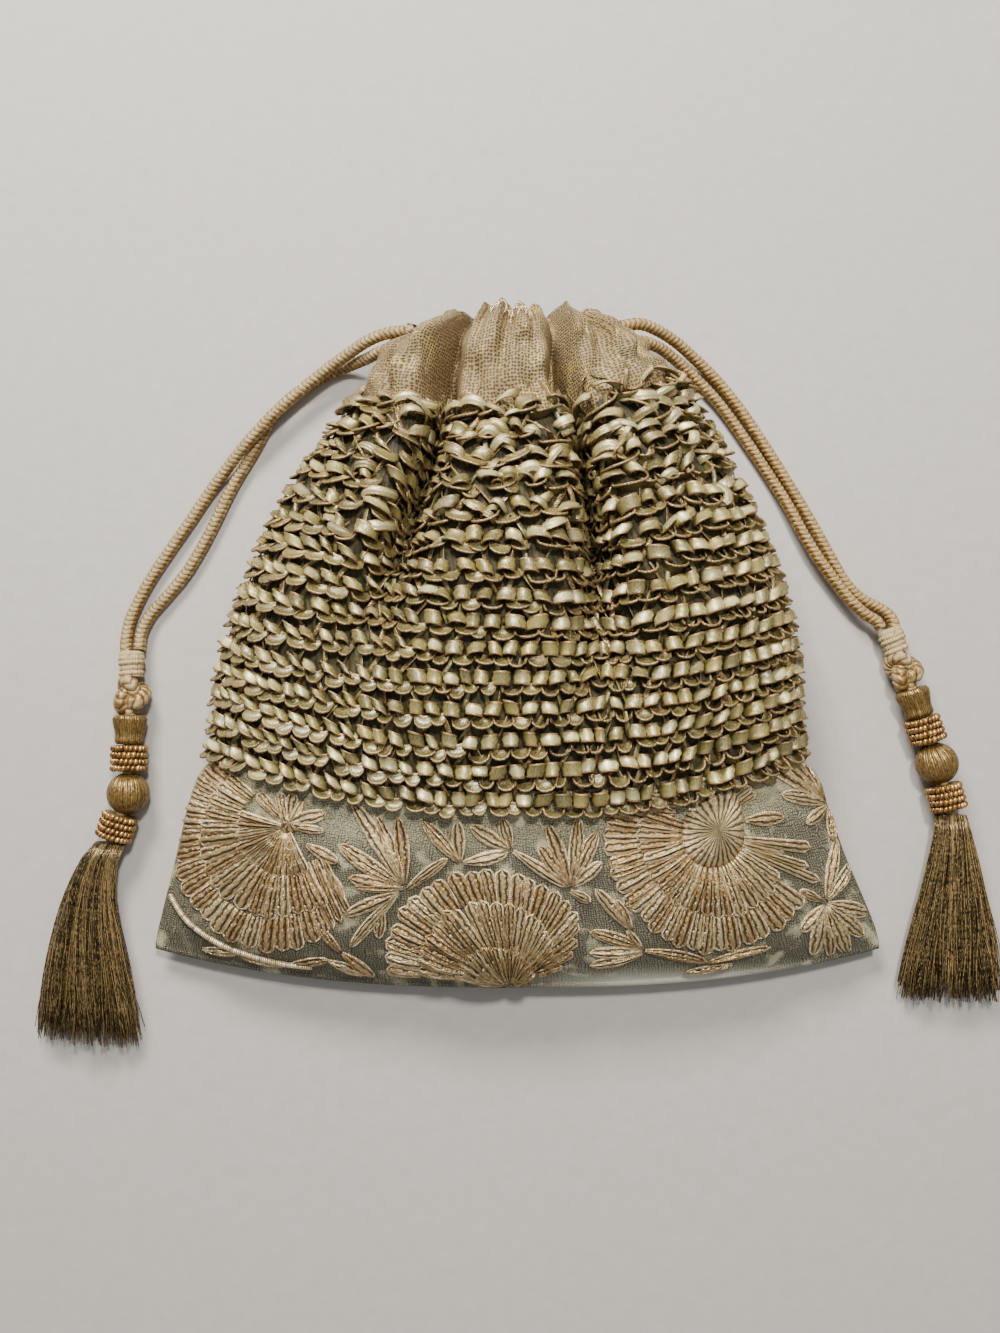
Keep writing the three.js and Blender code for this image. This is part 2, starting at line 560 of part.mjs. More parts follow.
function skirt(length, drop) {
  const count = LOCKS * LOCK_POINTS;
  const points = [new THREE.Vector3(0, 0, 0)];
  SKIRT_ROWS.forEach((row, j) => {
    const width = THREE.MathUtils.lerp(SKIRT_NECK, SKIRT_HEM_WIDTH, row.spread) / 2;
    const height = THREE.MathUtils.lerp(SKIRT_NECK, SKIRT_HEM_HEIGHT, row.spread) / 2;
    for (let k = 0; k < count; k++) {
      const turn = (2 * Math.PI * (k + 0.5 * LOCK_POINTS)) / count;
      const valley = k % LOCK_POINTS === 0 ? 1 - row.groove : 1;
      const lock = Math.floor(k / LOCK_POINTS);
      const tip = j === SKIRT_ROWS.length - 1 && valley === 1 ? 0.05 - LOCK_STAGGER * ((lock * 5) % 3) * 0.5 : 0;
      points.push(new THREE.Vector3(
        width * valley * Math.cos(turn),
        length * (row.at + tip),
        height * valley * Math.sin(turn) - drop * row.at,
      ));
    }
  });
  const hem = SKIRT_ROWS[SKIRT_ROWS.length - 1].at;
  points.push(new THREE.Vector3(0, hem * length, -drop * hem));
  const faces = [];
  for (let j = 0; j + 1 < SKIRT_ROWS.length; j++)
    faces.push(...bandFaces(1 + j * count, 1 + (j + 1) * count, count, true));
  const last = points.length - 1;
  for (let k = 0; k < count; k++) {
    const next = (k + 1) % count;
    faces.push([0, 1 + k, 1 + next]);
    faces.push([last, last - count + next, last - count + k]);
  }
  return geometryFrom(points, faces);
}

// The two tassel chains. x and y are where the strands end, and the three headings are those of the
// knot and cap, of the lower collar, and of the skirt, in degrees from +X. length is the skirt's. The
// beads are threaded tight, so they lie on one line at the ball's height above the surface.
const TASSELS = {
  left: { x: -113.7, y: -2.3, upper: 270, lower: 252, skirt: 264, length: 56 },
  right: { x: 110.0, y: 4.4, upper: 288, lower: 284, skirt: 269, length: 52 },
};
const CHAIN_HEIGHT = BALL_DIAMETER / 2;
const KNOT_HEIGHT = KNOT_WIDTH / 2;
const HEM_HEIGHT = SKIRT_HEM_HEIGHT / 2;

function addTassel(side, { x, y, upper, lower, skirt: fall, length }) {
  const chain = new THREE.Group();
  chain.position.set(x, y, 0);
  pouch.add(chain);
  const spot = new THREE.Vector2(0, 0);
  const lay = (name, geometry, material, degrees, run, height) => {
    const piece = addPiece(chain, `${name}_${side}`, geometry, material);
    piece.position.set(spot.x, spot.y, height);
    piece.rotation.z = THREE.MathUtils.degToRad(degrees - 90);
    spot.copy(heading(spot.x, spot.y, degrees, run + CLEARANCE));
  };
  spot.copy(heading(0, 0, upper, CLEARANCE));
  lay("cord_wrap", wrap(), materials.cord, upper, WRAP_LENGTH, KNOT_HEIGHT);
  lay("cord_knot", knot(), materials.cord, upper, KNOT_LENGTH, KNOT_HEIGHT);
  lay("tassel_cap", cap(), materials.thread, upper, CAP_LENGTH, CHAIN_HEIGHT);
  lay("upper_collar", collar(), materials.beads, upper, COLLAR_LENGTH, CHAIN_HEIGHT);
  lay("tassel_ball", ball(), materials.thread, upper, BALL_DIAMETER / 2 - CLEARANCE, CHAIN_HEIGHT);
  spot.copy(heading(spot.x, spot.y, lower, BALL_DIAMETER / 2 + CLEARANCE));
  lay("lower_collar", collar(), materials.beads, lower, COLLAR_LENGTH, CHAIN_HEIGHT);
  const turn = THREE.MathUtils.degToRad(fall - lower);
  spot.copy(heading(spot.x, spot.y, lower, 0.5 * SKIRT_NECK * Math.abs(Math.sin(turn))));
  lay("tassel_skirt", skirt(length, CHAIN_HEIGHT - HEM_HEIGHT), materials.thread, fall, length, CHAIN_HEIGHT);
}

addPiece(pouch, "base_band", shell(0, BAND_TO, 0, -CLOTH_WALL, true), materials.band);
addPiece(pouch, "knit_body", shell(KNIT_FROM, KNIT_TO, KNIT_STACK, CLEARANCE, false), materials.ribbon);
addPiece(pouch, "casing", casing(), materials.net);
for (const [name, values] of Object.entries(FANS))
  addPiece(pouch, name, toGeometry(fan(values)), materials.embroidery);
for (const [name, values] of Object.entries(SPRAYS))
  addPiece(pouch, name, toGeometry(spray(values)), materials.embroidery);
addStrands();
for (const [side, values] of Object.entries(TASSELS)) addTassel(side, values);

export default pouch;
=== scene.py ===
# A drawstring pouch lying on its back: ribbon knitting, an embroidered band of net over lining, a
# gathered net casing, plaited drawstrings and beaded tassels. Shapes are worked out in millimetres
# and turned into metres where a piece is made.

import math

import bpy
import numpy as np
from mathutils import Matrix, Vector


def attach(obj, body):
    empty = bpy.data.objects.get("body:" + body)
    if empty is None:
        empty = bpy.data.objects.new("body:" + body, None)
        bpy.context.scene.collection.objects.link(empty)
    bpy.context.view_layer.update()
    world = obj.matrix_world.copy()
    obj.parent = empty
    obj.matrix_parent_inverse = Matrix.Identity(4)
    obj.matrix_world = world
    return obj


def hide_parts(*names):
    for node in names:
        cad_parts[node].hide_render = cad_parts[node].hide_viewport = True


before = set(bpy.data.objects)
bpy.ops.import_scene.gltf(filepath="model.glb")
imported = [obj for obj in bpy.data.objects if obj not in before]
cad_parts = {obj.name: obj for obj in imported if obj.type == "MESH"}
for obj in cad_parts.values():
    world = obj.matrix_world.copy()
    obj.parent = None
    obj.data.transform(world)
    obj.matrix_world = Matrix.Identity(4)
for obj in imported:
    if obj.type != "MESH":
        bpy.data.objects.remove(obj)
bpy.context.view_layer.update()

MM = 0.001
SEED = 1907

# The photograph's view: nearly straight down, from the bag's bottom edge a little
camera_data = bpy.data.cameras.new("view_camera")
camera_data.sensor_width = 36
camera_data.lens = 30.6
camera_data.clip_start = 0.01
camera_data.dof.use_dof = False
camera = bpy.data.objects.new("view_camera", camera_data)
camera.location = (-0.005, -0.03022, 0.33917)
camera.rotation_euler = (math.radians(4), 0, 0)
bpy.context.scene.collection.objects.link(camera)
bpy.context.scene.camera = camera


# Plain shape tools


def unit(vectors):
    size = np.linalg.norm(vectors, axis=-1, keepdims=True)
    return vectors / np.maximum(size, 1e-9)


def smoothstep(value, low, high):
    t = np.clip((value - low) / (high - low), 0, 1)
    return t * t * (3 - 2 * t)


def loft(sections, along, across, tint=(0.5, 0.5), finish=0, ring=False, caps=True):
    """Joins rows of closed sections into solids. sections is (solids, stations, points, 3), along the
    length at each station and across the place of each point round the section, one more than points."""
    sections = np.asarray(sections, float)
    count, stations, points, _ = sections.shape
    index = np.arange(count * stations * points).reshape(count, stations, points)
    ahead = np.roll(index, -1, axis=1) if ring else index[:, 1:]
    here = index if ring else index[:, :-1]
    quads = np.stack([here, np.roll(here, -1, 2), np.roll(ahead, -1, 2), ahead], -1).reshape(-1, 4)
    along = np.broadcast_to(np.asarray(along, float), (count, stations))
    step = along[:, 1] - along[:, 0]
    far = np.concatenate([along[:, 1:], (along[:, -1] + step)[:, None]], 1) if ring else along[:, 1:]
    near = along if ring else along[:, :-1]
    across = np.asarray(across, float)
    spans = near.shape[1]
    grid = np.empty((count, spans, points, 4, 2))
    grid[..., 0, 0] = grid[..., 1, 0] = near[:, :, None]
    grid[..., 2, 0] = grid[..., 3, 0] = far[:, :, None]
    grid[..., 0, 1] = grid[..., 3, 1] = across[:-1]
    grid[..., 1, 1] = grid[..., 2, 1] = across[1:]
    tint = np.asarray(tint, float)
    tint = np.broadcast_to(tint[:, None] if tint.ndim == 2 else tint, (count, stations, 2))
    tint_far = np.roll(tint, -1, 1) if ring else tint[:, 1:]
    tint_near = tint if ring else tint[:, :-1]
    shade = np.empty(grid.shape)
    shade[..., :2, :] = tint_near[:, :, None, None]
    shade[..., 2:, :] = tint_far[:, :, None, None]
    finish = np.broadcast_to(np.asarray(finish), (count, spans, points)).reshape(-1)
    flat = sections.reshape(-1, 3)
    corners = flat[quads]
    volume = np.einsum("ij,ij->i", corners[:, 0], np.cross(corners[:, 1], corners[:, 2])).sum()
    volume += np.einsum("ij,ij->i", corners[:, 0], np.cross(corners[:, 2], corners[:, 3])).sum()
    sets = [(quads, grid.reshape(-1, 4, 2), shade.reshape(-1, 4, 2), finish, True)]
    if caps and not ring:
        for row, turn in ((index[:, 0, ::-1], 0), (index[:, -1], -1)):
            ends = np.empty((count, points, 2))
            ends[..., 0] = along[:, turn][:, None]
            ends[..., 1] = across[:-1]
            hue = np.broadcast_to(tint[:, turn, None], ends.shape)
            sets.append((row, ends, hue, np.full(count, finish[0]), False))
    if volume < 0:
        sets = [(f[:, ::-1], u[:, ::-1], s[:, ::-1], m, soft) for f, u, s, m, soft in sets]
    return flat, sets


def make(name, parts, materials, nodes=()):
    """Turns lofted parts into one mesh object that rides on the pouch and stands for CAD nodes."""
    points, loops, totals, places, tints, finishes, soft = [], [], [], [], [], [], []
    start = 0
    for flat, sets in parts:
        points.append(flat)
        for faces, uv, tint, finish, smooth in sets:
            loops.append((faces + start).ravel())
            totals.append(np.full(len(faces), faces.shape[1]))
            places.append(uv.reshape(-1, 2))
            tints.append(tint.reshape(-1, 2))
            finishes.append(finish)
            soft.append(np.full(len(faces), smooth))
        start += len(flat)
    points = np.concatenate(points) * MM
    totals = np.concatenate(totals).astype(np.int32)
    loops = np.concatenate(loops).astype(np.int32)
    mesh = bpy.data.meshes.new(name)
    mesh.vertices.add(len(points))
    mesh.vertices.foreach_set("co", points.astype(np.float32).ravel())
    mesh.loops.add(len(loops))
    mesh.loops.foreach_set("vertex_index", loops)
    mesh.polygons.add(len(totals))
    starts = np.concatenate([[0], np.cumsum(totals)[:-1]]).astype(np.int32)
    mesh.polygons.foreach_set("loop_start", starts)
    mesh.polygons.foreach_set("material_index", np.concatenate(finishes).astype(np.int32))
    mesh.polygons.foreach_set("use_smooth", np.concatenate(soft))
    for layer, values in (("strip", places), ("tint", tints)):
        uv = mesh.uv_layers.new(name=layer)
        uv.data.foreach_set("uv", np.concatenate(values).astype(np.float32).ravel())
    mesh.update(calc_edges=True)
    for material in materials:
        mesh.materials.append(material)
    piece = bpy.data.objects.new(name, mesh)
    bpy.context.scene.collection.objects.link(piece)
    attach(piece, "root")
    if nodes:
        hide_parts(*nodes)
    return piece


def round_section(sides, radius=1.0):
    turn = 2 * np.pi * np.arange(sides) / sides
    return radius * np.cos(turn), radius * np.sin(turn), np.arange(sides + 1) / sides


def spline(points, step):
    """A smooth line through given points, with samples an even step apart."""
    points = np.asarray(points, float)
    ends = np.vstack([2 * points[0] - points[1], points, 2 * points[-1] - points[-2]])
    fine = []
    for i in range(1, len(ends) - 2):
        p0, p1, p2, p3 = ends[i - 1 : i + 3]
        t0 = 0.0
        t1 = t0 + np.linalg.norm(p1 - p0) ** 0.5
        t2 = t1 + np.linalg.norm(p2 - p1) ** 0.5
        t3 = t2 + np.linalg.norm(p3 - p2) ** 0.5
        t = np.linspace(t1, t2, 24, endpoint=False)[:, None]
        a1 = (t1 - t) / (t1 - t0) * p0 + (t - t0) / (t1 - t0) * p1
        a2 = (t2 - t) / (t2 - t1) * p1 + (t - t1) / (t2 - t1) * p2
        a3 = (t3 - t) / (t3 - t2) * p2 + (t - t2) / (t3 - t2) * p3
        b1 = (t2 - t) / (t2 - t0) * a1 + (t - t0) / (t2 - t0) * a2
        b2 = (t3 - t) / (t3 - t1) * a2 + (t - t1) / (t3 - t1) * a3
        fine.append((t2 - t) / (t2 - t1) * b1 + (t - t1) / (t2 - t1) * b2)
    fine = np.vstack(fine + [points[-1:]])
    run = np.concatenate([[0], np.cumsum(np.linalg.norm(np.diff(fine, axis=0), axis=1))])
    count = max(3, int(round(run[-1] / step)) + 1)
    even = np.linspace(0, run[-1], count)
    return np.stack([np.interp(even, run, fine[:, k]) for k in range(3)], 1), even


def carried_frames(path):
    """Sideways and upward directions along a path that turn no more than the path does."""
    way = unit(np.gradient(path, axis=0))
    side = unit(np.cross(way[0], [0.0, 0.0, 1.0]))
    sides = [side]
    for i in range(1, len(path)):
        side = side - way[i] * np.dot(side, way[i])
        side = side / np.linalg.norm(side)
        sides.append(side)
    sides = np.array(sides)
    return way, sides, np.cross(sides, way)


def tube(path, radius, sides=10, along=None, tint=(0.5, 0.5), finish=0, ring=False):
    """Tubes along paths of (tubes, stations, 3), for thin threads and outlines."""
    path = np.asarray(path, float)
    way = unit(np.gradient(path, axis=1))
    if ring:
        way = unit(np.roll(path, -1, 1) - np.roll(path, 1, 1))
    side = unit(np.cross(way, [0.0, 0.13, 1.0]))
    rise = np.cross(side, way)
    x, y, across = round_section(sides)
    radius = np.broadcast_to(np.asarray(radius, float), path.shape[:2])[..., None, None]
    sections = path[:, :, None] + radius * (side[:, :, None] * x[:, None] + rise[:, :, None] * y[:, None])
    if along is None:
        gaps = np.linalg.norm(np.diff(path, axis=1), axis=2)
        along = np.concatenate([np.zeros((len(path), 1)), np.cumsum(gaps, 1)], 1)
    return loft(sections, along, across, tint, finish, ring)


# The pouch's form, the same as the solids follow

BASE_HALF = 105.0
BAG_LENGTH = 196.0
CROWN = 41.0
KNIT_STACK = 3.8
FOLD_FLOOR = 5.2

# Each level: at, width, rise, side, floor, bow, skew and shift
SECTIONS = np.array([
    (0.000, 1.000, 0.200, 0.140, 0.60, 0.055, 0.000, 0.000),
    (0.012, 0.995, 0.330, 0.150, 0.25, 0.055, 0.000, 0.000),
    (0.035, 0.980, 0.460, 0.180, 0.00, 0.055, 0.000, -0.002),
    (0.070, 0.955, 0.570, 0.220, 0.00, 0.056, 0.000, -0.008),
    (0.130, 0.912, 0.690, 0.260, 0.00, 0.060, 0.000, -0.019),
    (0.190, 0.875, 0.785, 0.290, 0.00, 0.068, 0.000, -0.026),
    (0.235, 0.842, 0.810, 0.310, 0.50, 0.073, 0.000, -0.029),
    (0.255, 0.790, 0.830, 0.340, 1.00, 0.075, 0.000, -0.030),
    (0.295, 0.778, 0.885, 0.360, 1.00, 0.076, 0.000, -0.030),
    (0.330, 0.775, 0.920, 0.370, 1.00, 0.074, 0.000, -0.029),
    (0.380, 0.766, 0.965, 0.390, 1.00, 0.070, 0.000, -0.024),
    (0.440, 0.748, 0.995, 0.400, 1.00, 0.066, 0.000, -0.018),
    (0.500, 0.722, 1.000, 0.400, 1.00, 0.063, 0.000, -0.013),
    (0.560, 0.683, 1.000, 0.400, 1.00, 0.062, 0.000, -0.010),
    (0.620, 0.638, 0.985, 0.400, 1.00, 0.062, 0.002, -0.008),
    (0.680, 0.582, 0.950, 0.390, 1.00, 0.062, 0.006, -0.004),
    (0.740, 0.518, 0.895, 0.380, 1.00, 0.061, 0.012, -0.002),
    (0.800, 0.458, 0.815, 0.370, 1.00, 0.060, 0.020, -0.004),
    (0.845, 0.413, 0.735, 0.360, 1.00, 0.048, 0.024, -0.016),
    (0.870, 0.400, 0.710, 0.355, 1.00, 0.034, 0.020, -0.020),
    (0.900, 0.388, 0.690, 0.350, 1.00, 0.019, 0.014, -0.018),
    (0.940, 0.368, 0.660, 0.340, 0.95, 0.004, 0.008, -0.014),
    (0.970, 0.348, 0.615, 0.330, 0.85, -0.008, 0.004, -0.008),
    (1.000, 0.320, 0.540, 0.310, 0.75, -0.020, 0.000, -0.004),
])
# Each deep fold: at, place across, depth and reach
DEEP_FOLDS = [
    np.array([
        (0.34, -0.6, 0.0, 0.2), (0.46, -0.54, 0.08, 0.16), (0.56, -0.48, 0.26, 0.12),
        (0.64, -0.455, 0.52, 0.095), (0.74, -0.45, 0.62, 0.085), (0.845, -0.45, 0.52, 0.085),
        (0.93, -0.46, 0.42, 0.08), (1.0, -0.44, 0.3, 0.08),
    ]),
    np.array([
        (0.3, 0.3, 0.0, 0.18), (0.42, 0.3, 0.09, 0.14), (0.52, 0.31, 0.32, 0.1),
        (0.62, 0.33, 0.6, 0.08), (0.74, 0.335, 0.7, 0.072), (0.845, 0.35, 0.62, 0.075),
        (0.93, 0.36, 0.52, 0.07), (1.0, 0.37, 0.38, 0.065),
    ]),
]
# Small gathers of the casing: place across, reach and depth
GATHERS = [(-0.76, 0.05, 0.12), (-0.24, 0.04, 0.07), (-0.06, 0.035, 0.1), (0.14, 0.035, 0.06),
           (0.62, 0.055, 0.24), (0.84, 0.04, 0.08)]
GATHERS_FROM = 0.81
BACK_GATHERS = 7
ROUNDING = 0.012


def section_value(at, column):
    """One column of SECTIONS at a height, rounded a little where two rows meet."""
    read = lambda h: np.interp(h, SECTIONS[:, 0], SECTIONS[:, column])
    return (read(at - ROUNDING) + 2 * read(at) + read(at + ROUNDING)) / 4


def fold_depth(u, at):
    depth = np.zeros(np.broadcast(u, at).shape)
    for fold in DEEP_FOLDS:
        place, deep, reach = (np.interp(at, fold[:, 0], fold[:, k]) for k in (1, 2, 3))
        depth = depth + np.where(at < fold[0, 0], 0, deep * np.exp(-(((u - place) / reach) ** 2)))
    gathered = smoothstep(at, GATHERS_FROM, 1)
    for place, reach, deep in GATHERS:
        depth = depth + gathered * deep * np.exp(-(((u - place) / reach) ** 2))
    return depth


def form(u, at, front=True, outset=0.0):
    """A point of the pouch. u runs from -1 at the left side to 1 at the right, at from the bottom
    edge up, and outset is the distance out from the cloth form."""
    u, at, outset = np.asarray(u, float), np.asarray(at, float), np.asarray(outset, float)
    width, rise, side, floor, bow, skew, shift = (section_value(at, k) for k in range(1, 8))
    rise, side, floor = rise * CROWN, side * CROWN, floor * KNIT_STACK
    edge = np.minimum(np.abs(u), 1)
    x = shift * BASE_HALF + u * (width * BASE_HALF + outset)
    y = BAG_LENGTH * (at - 0.5 + bow * edge**2.5 + skew * u)
    crown = side + (rise - side) * np.maximum(0, 1 - edge**2.4) ** 0.6
    folded = crown - fold_depth(u, at) * rise
    over = np.maximum(folded, np.minimum(floor + FOLD_FLOOR, crown))
    over = over + outset * np.sqrt(np.maximum(0, 1 - edge**6))
    turned = np.maximum(0, (edge - 0.72) / 0.28)
    level = np.sqrt(np.maximum(0, 1 - turned**2))
    pleat = smoothstep(at, GATHERS_FROM, 1) * 0.03 * CROWN
    pleat = pleat * (0.5 + 0.5 * np.cos(BACK_GATHERS * np.pi * u)) * (1 - edge)
    under = floor + pleat + (side - floor) * (1 - level) - outset * level
    return np.stack(np.broadcast_arrays(x, y, np.where(front, over, under)), -1)


def form_frame(u, at, front=True):
    """Directions on the form: round the bag, up the bag and straight out of it."""
    h = 0.004
    round_way = form(np.clip(u + h, -1, 1), at, front) - form(np.clip(u - h, -1, 1), at, front)
    up_way = form(u, at + h, front) - form(u, at - h, front)
    out = unit(np.cross(round_way, up_way))
    out = out * np.where(np.asarray(front), 1.0, -1.0)[..., None]
    up_way = unit(up_way)
    return np.cross(up_way, out), up_way, out


# Finishes


def tone(code):
    """A colour from its sRGB hex code, as the linear values that shaders take."""
    parts = [int(code[i : i + 2], 16) / 255 for i in (1, 3, 5)]
    return tuple(c / 12.92 if c <= 0.04045 else ((c + 0.055) / 1.055) ** 2.4 for c in parts) + (1.0,)


def add(tree, kind, links=None, **settings):
    """Adds a node, sets its options, and joins or fills its sockets."""
    node = tree.nodes.new(kind)
    for key, value in settings.items():
        setattr(node, key, value)
    for key, value in (links or {}).items():
        if isinstance(value, bpy.types.NodeSocket):
            tree.links.new(value, node.inputs[key])
        else:
            node.inputs[key].default_value = value
    return node


def reckon(tree, operation, first, second=0.0):
    return add(tree, "ShaderNodeMath", {0: first, 1: second}, operation=operation).outputs[0]


def blend(tree, share, first, second):
    return add(tree, "ShaderNodeMix", {0: share, 6: first, 7: second}, data_type="RGBA").outputs[2]


def washed(tree, colour, mask, share, code):
    """Lays a tone over a colour where a mask is, to a share of it."""
    return blend(tree, reckon(tree, "MULTIPLY", mask, share), colour, tone(code))


def tinged(tree, colour, value, low, high, share, code):
    """Lays a tone over a colour where a value goes from low to high, to a share of it."""
    return blend(tree, spread(tree, value, low, high, 0.0, share), colour, tone(code))


def spread(tree, value, low, high, to_low=0.0, to_high=1.0):
    links = {"Value": value, "From Min": low, "From Max": high, "To Min": to_low, "To Max": to_high}
    return add(tree, "ShaderNodeMapRange", links).outputs[0]


def grow_group(name, inputs, outputs):
    group = bpy.data.node_groups.new(name, "ShaderNodeTree")
    for label, kind, value in inputs:
        socket = group.interface.new_socket(name=label, in_out="INPUT", socket_type=kind)
        if value is not None:
            socket.default_value = value
    for label, kind in outputs:
        group.interface.new_socket(name=label, in_out="OUTPUT", socket_type=kind)
    given = group.nodes.new("NodeGroupInput").outputs
    return group, given, group.nodes.new("NodeGroupOutput")


def thread_lines_group():
    """Fine threads that run the length of a strip, from its own length and width in millimetres."""
    group, given, result = grow_group(
        "thread_lines",
        [("Strip", "NodeSocketVector", None), ("Threads", "NodeSocketFloat", 4.0),
         ("Slant", "NodeSocketFloat", 0.0), ("Fray", "NodeSocketFloat", 0.3)],
        [("Ridge", "NodeSocketFloat"), ("Glint", "NodeSocketFloat")],
    )
    parts = add(group, "ShaderNodeSeparateXYZ", {0: given["Strip"]}).outputs
    grain = add(group, "ShaderNodeTexNoise", {"Vector": given["Strip"], "Scale": 1.1, "Detail": 3.0})
    loose = reckon(group, "MULTIPLY", grain.outputs["Fac"], given["Fray"])
    lean = reckon(group, "MULTIPLY", parts["X"], given["Slant"])
    place = reckon(group, "ADD", reckon(group, "ADD", parts["Y"], lean), loose)
    turn = reckon(group, "MULTIPLY", reckon(group, "MULTIPLY", place, given["Threads"]), 2 * math.pi)
    wave = reckon(group, "ABSOLUTE", reckon(group, "SINE", reckon(group, "MULTIPLY", turn, 0.5)))
    ridge = reckon(group, "POWER", wave, 0.6)
    stretched = add(group, "ShaderNodeVectorMath", {0: given["Strip"], 1: (0.7, 3.5, 1.0)},
                    operation="MULTIPLY").outputs[0]
    spark = add(group, "ShaderNodeTexNoise", {"Vector": stretched, "Scale": 1.6, "Detail": 4.0})
    group.links.new(ridge, result.inputs["Ridge"])
    group.links.new(spread(group, spark.outputs["Fac"], 0.45, 0.72), result.inputs["Glint"])
    return group


def patches_group():
    """Soft patches over the cloth, for age, dust and uneven dye. Size is in metres."""
    group, given, result = grow_group(
        "patches",
        [("Size", "NodeSocketFloat", 0.01), ("Cover", "NodeSocketFloat", 0.5),
         ("Edge", "NodeSocketFloat", 0.12)],
        [("Mask", "NodeSocketFloat"), ("Fine", "NodeSocketFloat")],
    )
    place = add(group, "ShaderNodeTexCoord").outputs["Object"]
    near = reckon(group, "DIVIDE", 1.0, given["Size"])
    broad = add(group, "ShaderNodeTexNoise", {"Vector": place, "Scale": near, "Detail": 4.0})
    low = reckon(group, "SUBTRACT", reckon(group, "SUBTRACT", 1.0, given["Cover"]), given["Edge"])
    high = reckon(group, "ADD", reckon(group, "SUBTRACT", 1.0, given["Cover"]), given["Edge"])
    mask = add(group, "ShaderNodeMapRange",
               {"Value": broad.outputs["Fac"], "From Min": low, "From Max": high})
    fine = add(group, "ShaderNodeTexNoise", {"Vector": place, "Scale": 2600.0, "Detail": 2.0})
    group.links.new(mask.outputs[0], result.inputs["Mask"])
    group.links.new(fine.outputs["Fac"], result.inputs["Fine"])
    return group


def net_group():
    """An open net of fine threads both ways, from the cloth's own millimetres."""
    group, given, result = grow_group(
        "open_net",
        [("Strip", "NodeSocketVector", None), ("Across", "NodeSocketFloat", 1.0),
         ("Up", "NodeSocketFloat", 1.0), ("Wander", "NodeSocketFloat", 0.2)],
        [("Thread", "NodeSocketFloat"), ("Hole", "NodeSocketFloat")],
    )
    drift = add(group, "ShaderNodeTexNoise", {"Vector": given["Strip"], "Scale": 0.35, "Detail": 2.0})
    parts = add(group, "ShaderNodeSeparateXYZ", {0: given["Strip"]}).outputs
    shift = reckon(group, "MULTIPLY", drift.outputs["Fac"], given["Wander"])
    lines = []
    for axis, size in (("X", "Up"), ("Y", "Across")):
        place = reckon(group, "ADD", parts[axis], shift)
        turn = reckon(group, "MULTIPLY", reckon(group, "DIVIDE", place, given[size]), math.pi)
        lines.append(reckon(group, "POWER", reckon(group, "ABSOLUTE", reckon(group, "COSINE", turn)), 5.0))
    thread = reckon(group, "MAXIMUM", lines[0], lines[1])
    group.links.new(thread, result.inputs["Thread"])
    group.links.new(reckon(group, "SUBTRACT", 1.0, thread), result.inputs["Hole"])
    return group


THREAD_LINES = thread_lines_group()
PATCHES = patches_group()
OPEN_NET = net_group()


def use(tree, group, **inputs):
    node = tree.nodes.new("ShaderNodeGroup")
    node.node_tree = group
    for key, value in inputs.items():
        if isinstance(value, bpy.types.NodeSocket):
            tree.links.new(value, node.inputs[key])
        else:
            node.inputs[key].default_value = value
    return node.outputs


def start_finish(name, roughness, metallic=0.0, **more):
    material = bpy.data.materials.new(name)
    material.use_nodes = True
    tree = material.node_tree
    shader = tree.nodes["Principled BSDF"]
    shader.inputs["Roughness"].default_value = roughness
    shader.inputs["Metallic"].default_value = metallic
    for key, value in more.items():
        shader.inputs[key.replace("_", " ")].default_value = value
    strip = add(tree, "ShaderNodeUVMap", uv_map="strip").outputs[0]
    tint = add(tree, "ShaderNodeSeparateXYZ", {0: add(tree, "ShaderNodeUVMap", uv_map="tint").outputs[0]})
    return material, tree, shader, strip, tint.outputs["X"], tint.outputs["Y"]


def raise_surface(tree, shader, height, distance, strength=1.0):
    bump = add(tree, "ShaderNodeBump", {"Height": height, "Distance": distance, "Strength": strength})
    tree.links.new(bump.outputs[0], shader.inputs["Normal"])


def ribbon_finish():
    """Olive satin ribbon: lengthwise threads, darker dye in places, and painted light carried in its tint: a
    pale that is painted highlight on faces turned to the light, and a darker tone that is painted shade in
    deep folds, in the loops and between rows.
    """
    gloss = {"Specular_IOR_Level": 0.9, "Coat_Weight": 0.45, "Coat_Roughness": 0.22}
    material, tree, shader, strip, hue, shade = start_finish("ribbon_satin", 0.34, 0.35, **gloss)
    parts = add(tree, "ShaderNodeSeparateXYZ", {0: strip}).outputs
    turned = add(tree, "ShaderNodeCombineXYZ", {"X": parts["Y"], "Y": parts["X"]}).outputs[0]
    threads = use(tree, THREAD_LINES, Strip=turned, Threads=2.6, Slant=0.0, Fray=0.5)
    age = use(tree, PATCHES, Size=0.011, Cover=0.45, Edge=0.16)
    # the tint's first value sets the tone: it varies at random, and it is darker in deep folds, in the loops
    # and between rows, which is painted shade
    body = blend(tree, hue, tone("#554a14"), tone("#988a3e"))
    body = washed(tree, body, age["Mask"], 0.5, "#635221")
    # painted highlight: the tint's second value pales faces turned to the light towards cream
    paled = blend(tree, shade, body, tone("#ebe1a8"))
    # painted glints along the threads
    lit = washed(tree, paled, threads["Glint"], 0.35, "#efe7b8")
    tree.links.new(lit, shader.inputs["Base Color"])
    tree.links.new(spread(tree, threads["Glint"], 0.0, 1.0, 0.38, 0.24), shader.inputs["Roughness"])
    raise_surface(tree, shader, threads["Ridge"], 0.00006, 0.7)
    return material


